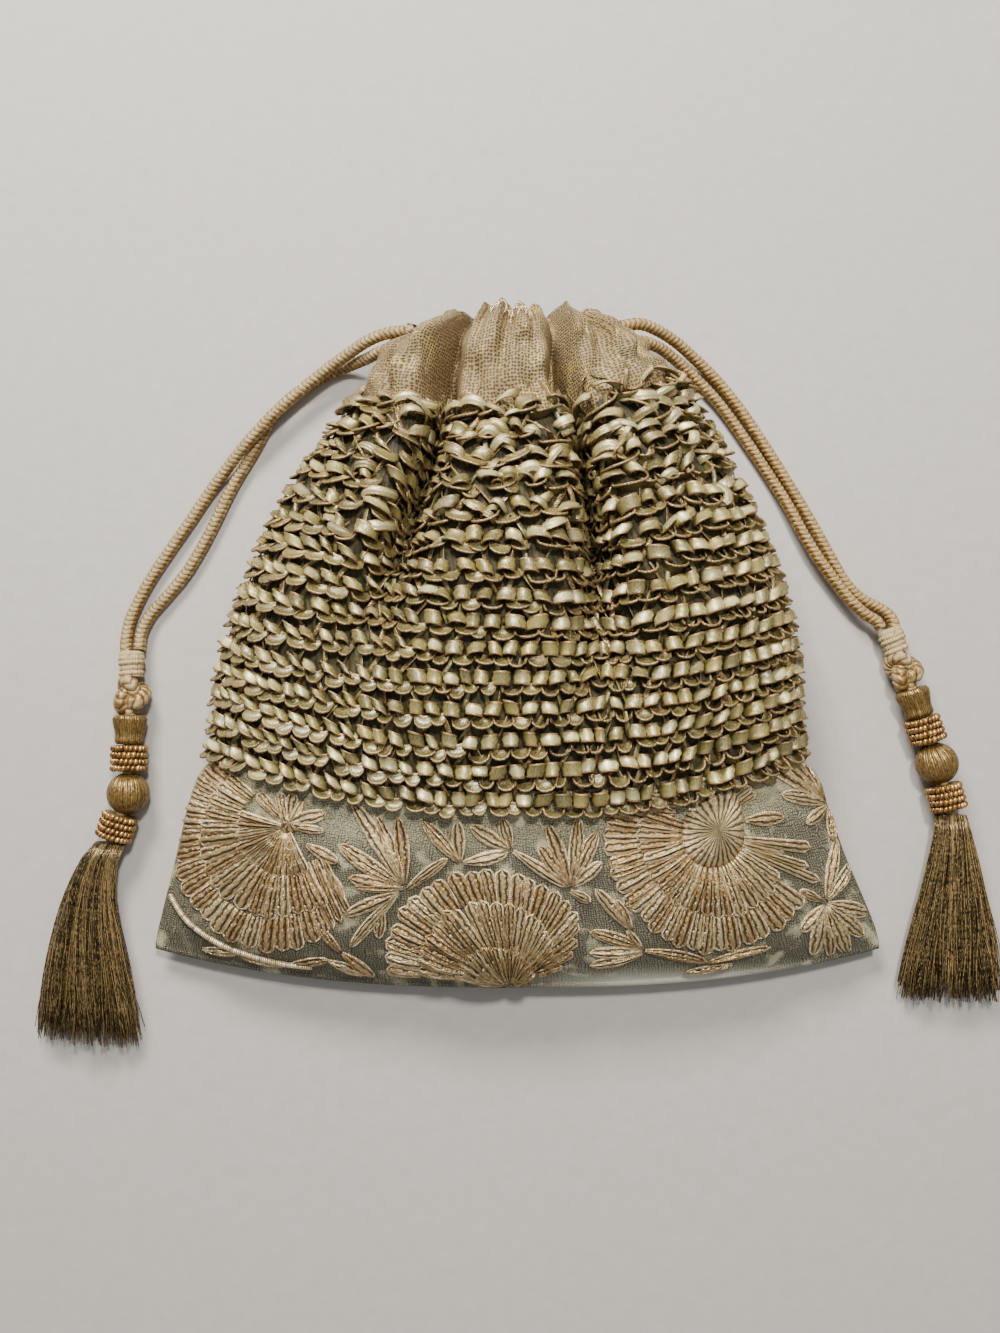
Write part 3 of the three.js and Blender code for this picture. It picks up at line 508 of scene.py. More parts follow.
def ribbon_edge_finish():
    """The copper-gold cord woven into both edges of the ribbon."""
    material, tree, shader, strip, hue, _ = start_finish("ribbon_edge", 0.38, 0.45)
    twist = use(tree, THREAD_LINES, Strip=strip, Threads=1.3, Slant=0.9, Fray=0.2)
    # the tint darkens the cord too in deep folds, in the loops and between rows: painted shade
    body = blend(tree, hue, tone("#6c5128"), tone("#a07e4c"))
    body = washed(tree, body, twist["Glint"], 0.8, "#e0ca9a")
    # painted shade: dark in the grooves between the cord's twists
    body = blend(tree, spread(tree, twist["Ridge"], 0.1, 0.6), tone("#3b2a14"), body)
    tree.links.new(body, shader.inputs["Base Color"])
    raise_surface(tree, shader, twist["Ridge"], 0.00008, 0.8)
    return material


def knit_shadow_finish():
    """The inside of the knitting, seen between stitches, painted dark as painted shade."""
    material, tree, shader, strip, *_ = start_finish("knit_depth", 0.8)
    age = use(tree, PATCHES, Size=0.004, Cover=0.5, Edge=0.2)
    threads = use(tree, THREAD_LINES, Strip=strip, Threads=0.5, Slant=0.4, Fray=2.0)
    body = blend(tree, age["Mask"], tone("#221c0e"), tone("#4b4322"))
    tree.links.new(body, shader.inputs["Base Color"])
    raise_surface(tree, shader, threads["Ridge"], 0.0004, 0.8)
    return material


def lining_net_finish():
    """Pale lining with a dark net over it that has thinned in places."""
    material, tree, shader, strip, *_ = start_finish("lining_net", 0.72)
    net = use(tree, OPEN_NET, Strip=strip, Across=0.8, Up=0.7, Wander=2.6)
    parts = add(tree, "ShaderNodeSeparateXYZ", {0: strip}).outputs
    paled = use(tree, PATCHES, Size=0.0075, Cover=0.4, Edge=0.07)
    age = use(tree, PATCHES, Size=0.03, Cover=0.5, Edge=0.2)
    cloth = blend(tree, age["Mask"], tone("#aaa27c"), tone("#cdc5a0"))
    cloth = washed(tree, cloth, age["Fine"], 0.3, "#8b8863")
    place = add(tree, "ShaderNodeSeparateXYZ", {0: add(tree, "ShaderNodeTexCoord").outputs["Object"]}).outputs
    hem = reckon(tree, "MULTIPLY", spread(tree, place["Y"], -0.0905, -0.0965),
                 spread(tree, place["X"], -0.01, 0.03))
    under_knit = reckon(tree, "MULTIPLY", spread(tree, parts["X"], 46.0, 54.0),
                        spread(tree, age["Fine"], 0.3, 0.6))
    bare = reckon(tree, "MAXIMUM", reckon(tree, "MULTIPLY", paled["Mask"], 0.85), hem)
    bare = reckon(tree, "MAXIMUM", bare, reckon(tree, "MULTIPLY", under_knit, 0.8))
    cover = reckon(tree, "SUBTRACT", 1.0, bare)
    cloth = blend(tree, hem, cloth, tone("#cfcbb8"))
    lines = reckon(tree, "MULTIPLY", spread(tree, net["Thread"], 0.2, 0.75), spread(tree, cover, 0.0, 0.8))
    veil = washed(tree, cloth, cover, 0.8, "#5a533f")
    body = washed(tree, veil, lines, 0.9, "#24251d")
    tree.links.new(body, shader.inputs["Base Color"])
    raise_surface(tree, shader, net["Thread"], 0.00015, 0.9)
    return material


def gold_strip_finish():
    """Flat gold strip that fills a petal: ribs along it with painted shade in the dips between them, and
    streaks and specks of painted highlight and painted shade.
    """
    material, tree, shader, strip, hue, shade = start_finish("gold_strip", 0.34, 0.62, Specular_IOR_Level=0.9)
    parts = add(tree, "ShaderNodeSeparateXYZ", {0: strip}).outputs
    drift = add(tree, "ShaderNodeTexNoise", {"Vector": strip, "Scale": 0.5, "Detail": 2.0}).outputs["Fac"]
    across = reckon(tree, "ADD", parts["Y"], spread(tree, drift, 0.3, 0.7, -0.3, 0.3))
    two = reckon(tree, "COSINE", reckon(tree, "MULTIPLY", across, math.pi))
    three = reckon(tree, "COSINE", reckon(tree, "MULTIPLY", across, 1.5 * math.pi))
    three = reckon(tree, "MULTIPLY", three, -1.0)
    more = reckon(tree, "GREATER_THAN", shade, 0.5)
    rib = reckon(tree, "ADD", reckon(tree, "MULTIPLY", three, more),
                 reckon(tree, "MULTIPLY", two, reckon(tree, "SUBTRACT", 1.0, more)))
    rib = spread(tree, rib, -1.0, 0.5)
    fine = use(tree, THREAD_LINES, Strip=strip, Threads=3.4, Slant=0.0, Fray=0.5)
    speck = add(tree, "ShaderNodeTexNoise", {"Vector": strip, "Scale": 1.25, "Detail": 3.0}).outputs["Fac"]
    drawn = add(tree, "ShaderNodeVectorMath", {0: strip, 1: (0.28, 2.2, 1.0)}, operation="MULTIPLY")
    streak = add(tree, "ShaderNodeTexNoise", {"Vector": drawn.outputs[0], "Scale": 1.0, "Detail": 3.0})
    streak = streak.outputs["Fac"]
    age = use(tree, PATCHES, Size=0.006, Cover=0.5, Edge=0.18)
    body = blend(tree, hue, tone("#c39d61"), tone("#f3d9a2"))
    body = washed(tree, body, age["Mask"], 0.25, "#96723a")
    # painted highlights and painted shade: streaks and specks lighten to cream and darken to brown
    body = tinged(tree, body, streak, 0.54, 0.68, 0.7, "#fff0cc")
    body = tinged(tree, body, streak, 0.42, 0.3, 0.4, "#6a5029")
    body = tinged(tree, body, speck, 0.56, 0.68, 0.7, "#fff2cf")
    body = tinged(tree, body, speck, 0.42, 0.3, 0.4, "#5d431f")
    # painted shade in the dips between the ribs
    body = blend(tree, spread(tree, rib, 0.0, 0.7, 0.05, 1.0), tone("#3c2711"), body)
    tree.links.new(body, shader.inputs["Base Color"])
    tree.links.new(spread(tree, fine["Glint"], 0.0, 1.0, 0.38, 0.22), shader.inputs["Roughness"])
    height = reckon(tree, "ADD", reckon(tree, "MULTIPLY", rib, 1.2),
                    reckon(tree, "MULTIPLY", fine["Ridge"], 0.3))
    grain = reckon(tree, "MULTIPLY", reckon(tree, "ADD", speck, streak), 1.6)
    height = reckon(tree, "ADD", height, grain)
    raise_surface(tree, shader, height, 0.00042, 1.0)
    return material


def gold_outline_finish():
    """Pale gold cord sewn down round each petal."""
    material, tree, shader, strip, hue, _ = start_finish("gold_outline", 0.3, 0.5, Specular_IOR_Level=0.9)
    twist = use(tree, THREAD_LINES, Strip=strip, Threads=1.1, Slant=1.6, Fray=0.3)
    grain = add(tree, "ShaderNodeTexNoise", {"Vector": strip, "Scale": 0.9, "Detail": 2.0}).outputs["Fac"]
    body = blend(tree, hue, tone("#cba670"), tone("#fbe4b4"))
    # painted glints: near-white specks along the cord
    body = blend(tree, spread(tree, grain, 0.5, 0.62), body, tone("#fff2d6"))
    body = tinged(tree, body, grain, 0.46, 0.36, 0.7, "#6b4b2b")
    # painted shade in the grooves between the cord's twists
    body = blend(tree, spread(tree, twist["Ridge"], 0.1, 0.8), tone("#65472a"), body)
    tree.links.new(body, shader.inputs["Base Color"])
    raise_surface(tree, shader, twist["Ridge"], 0.0002, 1.0)
    return material


def casing_net_finish():
    """Tan net of small round cells, with gold thread through it in patches."""
    material, tree, shader, strip, *_ = start_finish("casing_net", 0.62, 0.08)
    cells = add(tree, "ShaderNodeTexVoronoi", {"Vector": strip, "Scale": 0.95, "Randomness": 0.4},
                voronoi_dimensions="2D", feature="F1")
    hole = spread(tree, cells.outputs["Distance"], 0.2, 0.46, 1.0, 0.0)
    age = use(tree, PATCHES, Size=0.018, Cover=0.46, Edge=0.14)
    gold = use(tree, PATCHES, Size=0.0075, Cover=0.4, Edge=0.06)
    glint = use(tree, THREAD_LINES, Strip=strip, Threads=1.6, Slant=0.2, Fray=1.6)
    cloth = blend(tree, age["Mask"], tone("#836e47"), tone("#a8936b"))
    cloth = washed(tree, cloth, gold["Fine"], 0.35, "#8f7448")
    metal = reckon(tree, "MULTIPLY", gold["Mask"], glint["Glint"])
    cloth = washed(tree, cloth, gold["Mask"], 0.6, "#a4863e")
    # painted highlight: glints on the gold thread are painted pale gold
    cloth = blend(tree, metal, cloth, tone("#f0dc96"))
    body = washed(tree, cloth, hole, 0.9, "#3d2d18")
    tree.links.new(body, shader.inputs["Base Color"])
    tree.links.new(spread(tree, metal, 0.0, 1.0, 0.66, 0.32), shader.inputs["Roughness"])
    height = reckon(tree, "SUBTRACT", reckon(tree, "MULTIPLY", glint["Ridge"], 0.3), hole)
    raise_surface(tree, shader, height, 0.00022, 0.9)
    return material


PLAIT_COLUMNS = 4
PLAIT_PITCH = 1.5
PLAIT_LEAN = 0.75


def plait_finish(name, dull, dull_light, bright, bright_light, metal):
    """Plaited cord: two of its four strands are matte and two are metal thread."""
    material, tree, shader, strip, *_ = start_finish(name, 0.42, 0.0)
    parts = add(tree, "ShaderNodeSeparateXYZ", {0: strip}).outputs
    column = reckon(tree, "FRACT", reckon(tree, "MULTIPLY", parts["Y"], 2.0))
    is_metal = spread(tree, reckon(tree, "ABSOLUTE", reckon(tree, "SUBTRACT", column, 0.5)), 0.22, 0.28)
    lean = reckon(tree, "FRACT", reckon(tree, "MULTIPLY", parts["Y"], PLAIT_COLUMNS / 2))
    lean = reckon(tree, "ABSOLUTE", reckon(tree, "SUBTRACT", lean, 0.5))
    run = reckon(tree, "ADD", reckon(tree, "DIVIDE", parts["X"], PLAIT_PITCH),
                 reckon(tree, "MULTIPLY", lean, 2 * PLAIT_LEAN))
    rib = reckon(tree, "ABSOLUTE", reckon(tree, "SINE", reckon(tree, "MULTIPLY", run, math.pi)))
    hair = use(tree, THREAD_LINES, Strip=strip, Threads=14.0, Slant=0.5, Fray=0.08)
    age = use(tree, PATCHES, Size=0.009, Cover=0.5, Edge=0.2)
    # painted glints along the hairs of each strand
    matte = blend(tree, hair["Glint"], tone(dull), tone(dull_light))
    gold = blend(tree, hair["Glint"], tone(bright), tone(bright_light))
    body = blend(tree, is_metal, matte, gold)
    body = washed(tree, body, age["Mask"], 0.25, "#84693f")
    # painted shade in the dips between the plait's ribs
    body = blend(tree, spread(tree, rib, 0.05, 0.5), tone("#4d351a"), body)
    tree.links.new(body, shader.inputs["Base Color"])
    tree.links.new(reckon(tree, "MULTIPLY", is_metal, metal), shader.inputs["Metallic"])
    tree.links.new(spread(tree, is_metal, 0.0, 1.0, 0.6, 0.36), shader.inputs["Roughness"])
    height = reckon(tree, "ADD", rib, reckon(tree, "MULTIPLY", hair["Ridge"], 0.25))
    raise_surface(tree, shader, height, 0.00018, 0.9)
    return material


def wound_thread_finish(name, deep, body_tone, light, metal, roughness, threads, flecks=0.9):
    """Thread wound or laid side by side, with darker and lighter flecks along each strand. The lighter flecks
    and the thread glints are painted glints, and the dark tone in the grooves between strands is painted
    shade.
    """
    deep, body_tone, light = tone(deep), tone(body_tone), tone(light)
    material, tree, shader, strip, hue, shade = start_finish(name, roughness, metal)
    lines = use(tree, THREAD_LINES, Strip=strip, Threads=threads, Fray=0.35)
    age = use(tree, PATCHES, Size=0.005, Cover=0.5, Edge=0.2)
    apart = add(tree, "ShaderNodeCombineXYZ", {"X": reckon(tree, "MULTIPLY", hue, 61.0),
                                               "Y": reckon(tree, "MULTIPLY", shade, 43.0)}).outputs[0]
    place = add(tree, "ShaderNodeVectorMath", {0: strip, 1: apart}, operation="ADD").outputs[0]
    fleck = add(tree, "ShaderNodeTexNoise", {"Vector": place, "Scale": 1.1, "Detail": 3.0}).outputs["Fac"]
    body = blend(tree, hue, body_tone, light)
    body = blend(tree, reckon(tree, "MULTIPLY", age["Mask"], 0.4), body, body_tone)
    # painted glints along the threads
    body = blend(tree, reckon(tree, "MULTIPLY", lines["Glint"], 0.5), body, light)
    body = blend(tree, spread(tree, fleck, 0.47, 0.36, 0.0, flecks), body, deep)
    body = blend(tree, spread(tree, fleck, 0.56, 0.66, 0.0, flecks), body, light)
    # painted shade in the grooves between strands
    body = blend(tree, spread(tree, lines["Ridge"], 0.05, 0.55), deep, body)
    tree.links.new(body, shader.inputs["Base Color"])
    raise_surface(tree, shader, lines["Ridge"], 0.00012, 0.9)
    return material


ribbon_satin = ribbon_finish()
ribbon_edge = ribbon_edge_finish()
knit_depth = knit_shadow_finish()
lining_net = lining_net_finish()
gold_strip = gold_strip_finish()
gold_outline = gold_outline_finish()
casing_net = casing_net_finish()
plait_tan = plait_finish("plait_tan", "#9a8254", "#c9b183", "#836434", "#cfb27a", 0.5)
plait_gold = plait_finish("plait_gold", "#9a7c4a", "#c3a46c", "#7f5f2c", "#cba864", 0.55)
pale_binding = wound_thread_finish("pale_binding", "#65532f", "#957d52", "#c2ab7e", 0.0, 0.75, 1.2, 0.7)
bronze_thread = wound_thread_finish("bronze_thread", "#120c05", "#38290f", "#a88648", 0.5, 0.32, 1.3, 0.6)
skirt_thread = wound_thread_finish("skirt_thread", "#140d05", "#20170a", "#b99b66", 0.5, 0.3, 1.0)
copper_bead = wound_thread_finish("copper_bead", "#432a12", "#775026", "#cfa566", 0.7, 0.26, 0.6, 0.5)


# The drawstrings

STRANDS = {
    "cord_left_outer": [
        (-33.0, 91.4, 13.6), (-38.6, 90.9, 12.9), (-44.2, 89.3, 11.2), (-50.1, 86.3, 8.8), (-56.2, 82.9, 6.4),
        (-61.8, 78.6, 5.9), (-66.6, 74.5, 5.8), (-72.8, 68.9, 5.8), (-77.1, 64.2, 5.7), (-82.6, 58.2, 4.8),
        (-87.4, 52.5, 3.3), (-92.8, 45.5, 2.0), (-98.2, 37.2, 1.9), (-104.2, 28.2, 1.9), (-109.5, 19.9, 1.9),
        (-113.4, 12.4, 1.9), (-115.6, 5.8, 2.8), (-115.6, -2.1, 4.9),
    ],
    "cord_left_inner": [
        (-33.6, 86.2, 12.9), (-39.0, 86.3, 12.0), (-44.6, 85.4, 7.4), (-50.6, 84.4, 3.4), (-57.0, 82.2, 1.9),
        (-62.2, 79.4, 1.9), (-67.5, 75.8, 1.9), (-71.8, 71.8, 1.9), (-74.9, 67.4, 1.9), (-77.4, 62.4, 1.9),
        (-80.2, 57.2, 1.9), (-83.4, 51.8, 1.9), (-86.8, 45.4, 1.9), (-89.9, 38.6, 1.9), (-92.9, 32.4, 1.9),
        (-96.1, 26.4, 1.9), (-99.8, 20.5, 1.9), (-104.9, 14.2, 1.9), (-109.4, 8.8, 2.2), (-111.6, 3.6, 3.4),
        (-111.8, -2.1, 4.9),
    ],
    "cord_right_outer": [
        (30.4, 92.6, 14.2), (36.2, 93.6, 13.4), (42.0, 92.6, 10.6), (47.6, 90.3, 7.6), (52.8, 87.0, 4.8),
        (60.8, 80.2, 2.2), (68.8, 69.9, 1.9), (76.6, 57.6, 1.9), (84.2, 44.7, 1.9), (90.2, 34.0, 1.9),
        (94.4, 26.0, 1.9), (98.4, 18.8, 1.9), (102.8, 14.0, 2.0), (107.4, 11.2, 2.7), (110.6, 8.6, 4.0),
        (111.75, 5.75, 4.9),
    ],
    "cord_right_inner": [
        (31.0, 87.8, 13.8), (36.4, 88.6, 12.8), (42.2, 88.2, 8.8), (47.8, 85.6, 5.2), (53.0, 81.8, 2.8),
        (60.8, 73.8, 1.9), (69.1, 62.0, 1.9), (77.4, 48.9, 2.2), (81.5, 41.4, 3.2), (85.6, 32.8, 4.2),
        (89.6, 25.6, 4.8), (93.8, 19.6, 4.8), (99.0, 12.8, 4.8), (103.4, 8.6, 4.9), (106.6, 6.6, 4.9),
        (108.0, 4.4, 4.9),
    ],
}
CORD_DIAMETER = 3.6
CORD_SIDES = 24
CORD_STEP = 0.36

# The chain from a loop's end: where it starts, its headings in degrees from +X, and the skirt's length
TASSELS = {
    "left": {"x": -113.7, "y": -2.3, "upper": 270, "lower": 252, "skirt": 264, "length": 56},
    "right": {"x": 110.0, "y": 4.4, "upper": 288, "lower": 284, "skirt": 269, "length": 52},
}
GAP = 0.3
WRAP_LENGTH, WRAP_WIDTH = 7.2, 8.2
KNOT_LENGTH, KNOT_WIDTH = 10.8, 10.6
CAP_LENGTH, CAP_WIDTH = 8.6, 9.8
COLLAR_LENGTH, COLLAR_WIDTH, BEAD_ROWS = 7.6, 11.0, 4
BALL_DIAMETER = 12.2
SKIRT_NECK, SKIRT_HEM_WIDTH, SKIRT_HEM_HEIGHT = 8.4, 31.0, 8.6


def toward(degrees):
    turn = math.radians(degrees)
    return np.array([math.cos(turn), math.sin(turn)])


def chain_places(side):
    """Start and heading of each piece of a chain, each with its height above the surface."""
    facts = TASSELS[side]
    spot = np.array([facts["x"], facts["y"]]) + toward(facts["upper"]) * GAP
    high, knot_high = BALL_DIAMETER / 2, KNOT_WIDTH / 2
    places = {}
    steps = [("wrap", "upper", WRAP_LENGTH + GAP, knot_high), ("knot", "upper", KNOT_LENGTH + GAP, knot_high),
             ("cap", "upper", CAP_LENGTH + GAP, high), ("upper_collar", "upper", COLLAR_LENGTH + GAP, high),
             ("ball", "upper", BALL_DIAMETER / 2, high)]
    for name, heading, run, height in steps:
        places[name] = (spot, facts[heading], height)
        spot = spot + toward(facts[heading]) * run
    spot = spot + toward(facts["lower"]) * (BALL_DIAMETER / 2 + GAP)
    places["lower_collar"] = (spot, facts["lower"], high)
    spot = spot + toward(facts["lower"]) * (COLLAR_LENGTH + GAP)
    swing = abs(math.sin(math.radians(facts["skirt"] - facts["lower"])))
    spot = spot + toward(facts["lower"]) * (0.5 * SKIRT_NECK * swing)
    places["skirt"] = (spot, facts["skirt"], high)
    return places


CHAINS = {side: chain_places(side) for side in TASSELS}


def plaited(path, run, radius):
    """The cord's surface: ribs that slope one way and the other in turn round it."""
    _, side, rise = carried_frames(path)
    x, y, across = round_section(CORD_SIDES)
    column = np.abs((across[:-1] * PLAIT_COLUMNS / 2) % 1 - 0.5)
    phase = run[:, None] / PLAIT_PITCH + 2 * PLAIT_LEAN * column
    rib = np.abs(np.sin(np.pi * phase)) ** 0.8
    valley = np.abs(np.cos(np.pi * PLAIT_COLUMNS * across[:-1])) ** 0.5
    reach = radius * (0.86 + 0.1 * rib + 0.05 * valley)
    out = side[:, None] * x[:, None] + rise[:, None] * y[:, None]
    return path[:, None] + reach[..., None] * out, across


def drawstring(name, places, on_to_tassel):
    points = list(STRANDS[name])
    if on_to_tassel:
        start = np.array(points[-1])
        knot, ball = places["knot"], places["ball"]
        collar, skirt = places["lower_collar"], places["skirt"]
        wrap_middle = places["wrap"][0] + toward(places["wrap"][1]) * 0.5 * WRAP_LENGTH
        points.append((*(0.25 * start[:2] + 0.75 * wrap_middle), knot[2] - 0.1))
        for spot, height in ((knot[0], knot[2]), (places["cap"][0], ball[2]), (ball[0], ball[2]),
                             (collar[0], ball[2]), (skirt[0] + toward(skirt[1]) * 1.5, ball[2])):
            points.append((*spot, height))
    path, run = spline(points, CORD_STEP)
    sections, across = plaited(path, run, CORD_DIAMETER / 2)
    part = loft(sections[None], run[None], across)
    finish = plait_tan if "left" in name else plait_gold
    return make(name + "_plait", [part], [finish], [name]), path, run


strand_pieces = {}
for side, places in CHAINS.items():
    for lay in ("outer", "inner"):
        name = f"cord_{side}_{lay}"
        strand_pieces[name] = drawstring(name, places, lay == "outer")


# The knitting

KNIT_ROWS = 15
KNIT_FROM, KNIT_TO = 0.258, 0.842


def knit_point(u, at, front, outset):
    """A point over the knitted form: straight out of it, also on the walls of the deep folds."""
    wide = form(u, at, front, outset)
    out = form_frame(u, at, front)[2]
    near = form(u, at, front, 0.0) + out * np.asarray(outset, float)[..., None]
    share = smoothstep(np.abs(u), 0.7, 0.9) * np.where(front, 1.0, 0.0) + np.where(front, 0.0, 1.0)
    return near + (wide - near) * np.asarray(share)[..., None]


def bag_line(at, outset):
    """One level line round the bag: u, the distance run, and where the front ends."""
    front = np.sin(np.linspace(-math.pi / 2, math.pi / 2, 1300))
    back = front[::-2][1:-1]
    u = np.concatenate([front, back])
    on_front = np.concatenate([np.ones(len(front), bool), np.zeros(len(back), bool)])
    points = form(u, at, on_front, 0.6 * outset)
    steps = np.linalg.norm(np.diff(np.vstack([points, points[:1]]), axis=0), axis=1)
    run = np.concatenate([[0], np.cumsum(steps)])
    return np.append(u, -1.0), run, run[len(front) - 1]


def eased(values, place):
    """Random values, one at each whole place, joined softly."""
    low = np.floor(place).astype(int)
    t = place - low
    t = t * t * (3 - 2 * t)
    return values[low % len(values)] * (1 - t) + values[(low + 1) % len(values)] * t


def level_points(u_line, run, front_run, distance):
    distance = np.mod(distance, run[-1])
    return np.interp(distance, run, u_line), distance < front_run


# The ribbon's cross-section: depth from its outer edge, thickness, and how much it bows there
RIBBON_PROFILE = np.array([
    (0.0, 0.4, 0.0), (-0.34, 0.0, 0.0), (0.0, -0.4, 0.0), (0.46, -0.08, 0.1), (1.75, -0.08, 1.0),
    (3.0, -0.08, 0.15), (3.4, -0.34, 0.0), (3.7, 0.0, 0.0), (3.4, 0.34, 0.0), (3.0, 0.08, 0.15),
    (1.75, 0.08, 1.0), (0.46, 0.08, 0.1),
])
RIBBON_MIDDLE = 1.7
EDGE_SPANS = [0, 1, 2, 5, 6, 7, 8, 11]
RIBBON_STEPS = 7
ROW_LINE_OUT = 2.4
MOST_OUT_BELOW = 2.9
ABOVE_FLOOR = 0.05


def stitch_pitch(at):
    return 4.75 + 1.1 * smoothstep(at, 0.4, 0.72) + 1.2 * smoothstep(at, 0.74, 0.83)


def ribbon_row(number, draw):
    """One row: flat faces of ribbon side by side, and the loops that sag between them below."""
    at = KNIT_FROM + (KNIT_TO - KNIT_FROM) * (number + 0.5) / KNIT_ROWS
    u_line, run, front_run = bag_line(at, ROW_LINE_OUT)
    count = int(round(run[-1] / stitch_pitch(at)))
    wild = float(smoothstep(at, 0.5, 0.82))
    share = 1 + (0.2 + 0.18 * wild) * draw.uniform(-1, 1, count)
    wide = (share * run[-1] / share.sum())[:, None]
    starts = np.cumsum(wide)[:, None] + 0.5 * (number % 2) * run[-1] / count
    wave = 0.7 * np.sin(np.arange(count) * 0.21 + number)[:, None]
    wave = wave + (0.35 + 1.1 * wild) * draw.uniform(-1, 1, (count, 1))
    line = (u_line, run, front_run)
    return [ribbon_faces(at, wild, starts, wide, wave, line, draw),
            ribbon_loops(at, wild, starts + 0.5 * wide, wide, wave, line, draw)]


def laid_ribbon(u, front, height, outset, width_way, centred, bow, hue, pale):
    """Ribbons along paths on the form. width_way gives each ribbon's own width as shares of the
    directions round the bag, up it and out of it."""
    folded = np.where(front, np.clip(2.2 * fold_depth(u, height), 0, 1), 0)
    outset = outset * (1 - 0.5 * folded)
    outset = np.where(front, outset, np.minimum(outset, MOST_OUT_BELOW))
    side, rise, out = form_frame(u, height, front)
    path = knit_point(u, height, front, outset)
    shares = (*width_way, bow)
    round_share, up_share, out_share, bow = (np.broadcast_to(v, u.shape)[..., None] for v in shares)
    inward = unit(side * round_share + rise * up_share + out * out_share)
    face = unit(np.cross(unit(np.gradient(path, axis=1)), inward))
    face = face * np.where(np.sum(face * out, -1) < 0, -1.0, 1.0)[..., None]
    depth, thick, bend = RIBBON_PROFILE.T
    sections = path[:, :, None] + inward[:, :, None] * (depth - (RIBBON_MIDDLE if centred else 0.0))[:, None]
    sections = sections + face[:, :, None] * (thick + bow * bend)[..., None]
    sections[..., 2] = np.maximum(sections[..., 2], ABOVE_FLOOR)
    gaps = np.linalg.norm(np.diff(np.vstack([RIBBON_PROFILE, RIBBON_PROFILE[:1]])[:, :2], axis=0), axis=1)
    finish = np.zeros((len(path), path.shape[1] - 1, len(RIBBON_PROFILE)), int)
    finish[..., EDGE_SPANS] = 1
    steps = np.linalg.norm(np.diff(path, axis=1), axis=2)
    along = np.concatenate([np.zeros((len(path), 1)), np.cumsum(steps, 1)], 1)
    # painted shade: in a deep fold the tone darkens and the pale painted highlight goes
    tint = np.stack(np.broadcast_arrays(hue * (1 - 0.8 * folded), pale * (1 - folded)), -1)
    return loft(sections, along, np.concatenate([[0], np.cumsum(gaps)]), tint, finish)


def ribbon_faces(at, wild, starts, wide, wave, line, draw):
    """The upper part of each stitch: a slanting face that curves in at both ends."""
    chance = draw.uniform(-1, 1, (8, len(starts), 1))
    t = np.linspace(-1, 1, RIBBON_STEPS)
    middle = starts + (0.25 + 0.9 * wild) * chance[0]
    u_middle = level_points(*line, middle)[0]
    lean = -0.7 * smoothstep(-u_middle, 0.0, 0.6) + 0.25 * smoothstep(u_middle, 0.3, 0.8)
    lean = lean + (0.3 + 0.8 * wild) * chance[1]
    slope = 0.45 * lean + (0.2 + 0.6 * wild) * chance[2]
    half = 0.5 * wide * (0.84 + 0.14 * chance[3] + 0.08 * wild)
    u, front = level_points(*line, middle + half * np.sin(1.25 * t) / math.sin(1.25))
    climb = 0.4 * (1 - t**2) + slope * half * t + wave
    outset = 3.6 + 0.4 * chance[4] + 0.4 * wild * chance[5] - (2.9 + 0.6 * chance[6]) * np.abs(t) ** 2.6
    tilt = -0.35 - 0.6 * chance[7]
    # painted highlight: faces tilted further up, towards the light, are given more pale
    pale = np.clip(0.5 * chance[5] + 0.4 * chance[7] - 0.02, 0, 0.85)
    return laid_ribbon(u, front, at + climb / BAG_LENGTH, outset, (lean, 1.0, tilt), True,
                       0.42 + 0.25 * chance[2], 0.5 + 0.5 * chance[6], pale)


def ribbon_loops(at, wild, starts, wide, wave, line, draw):
    """The lower part of each stitch: ribbon on edge that sags from one face to the next."""
    chance = draw.uniform(-1, 1, (8, len(starts), 1))
    t = np.linspace(-1, 1, RIBBON_STEPS)
    middle = starts + (0.25 + 0.9 * wild) * chance[0]
    u_middle = level_points(*line, middle)[0]
    half = 0.5 * wide * (1.1 + 0.12 * chance[3] + 0.06 * wild)
    u, front = level_points(*line, middle + half * np.sin(1.3 * t) / math.sin(1.3))
    sag = (3.5 + 0.6 * chance[1]) * np.sqrt(np.maximum(0, 1 - 0.96 * t**2))
    climb = -0.7 - sag + (0.12 + 0.5 * wild) * chance[2] * half * t + wave
    outset = 4.1 + 0.4 * chance[4] - 2.4 * np.abs(t) ** 3
    cup = np.clip(0.75 - 1.1 * u_middle + 0.7 * chance[5], -1.2, 1.5)
    # painted shade: the loops lie under the faces, so they get a darker tone and no pale
    return laid_ribbon(u, front, at + climb / BAG_LENGTH, outset, (0.3 * chance[6], cup, -1.0), False,
                       -0.25 + 0.3 * chance[7], 0.18 + 0.3 * chance[6], 0.0)


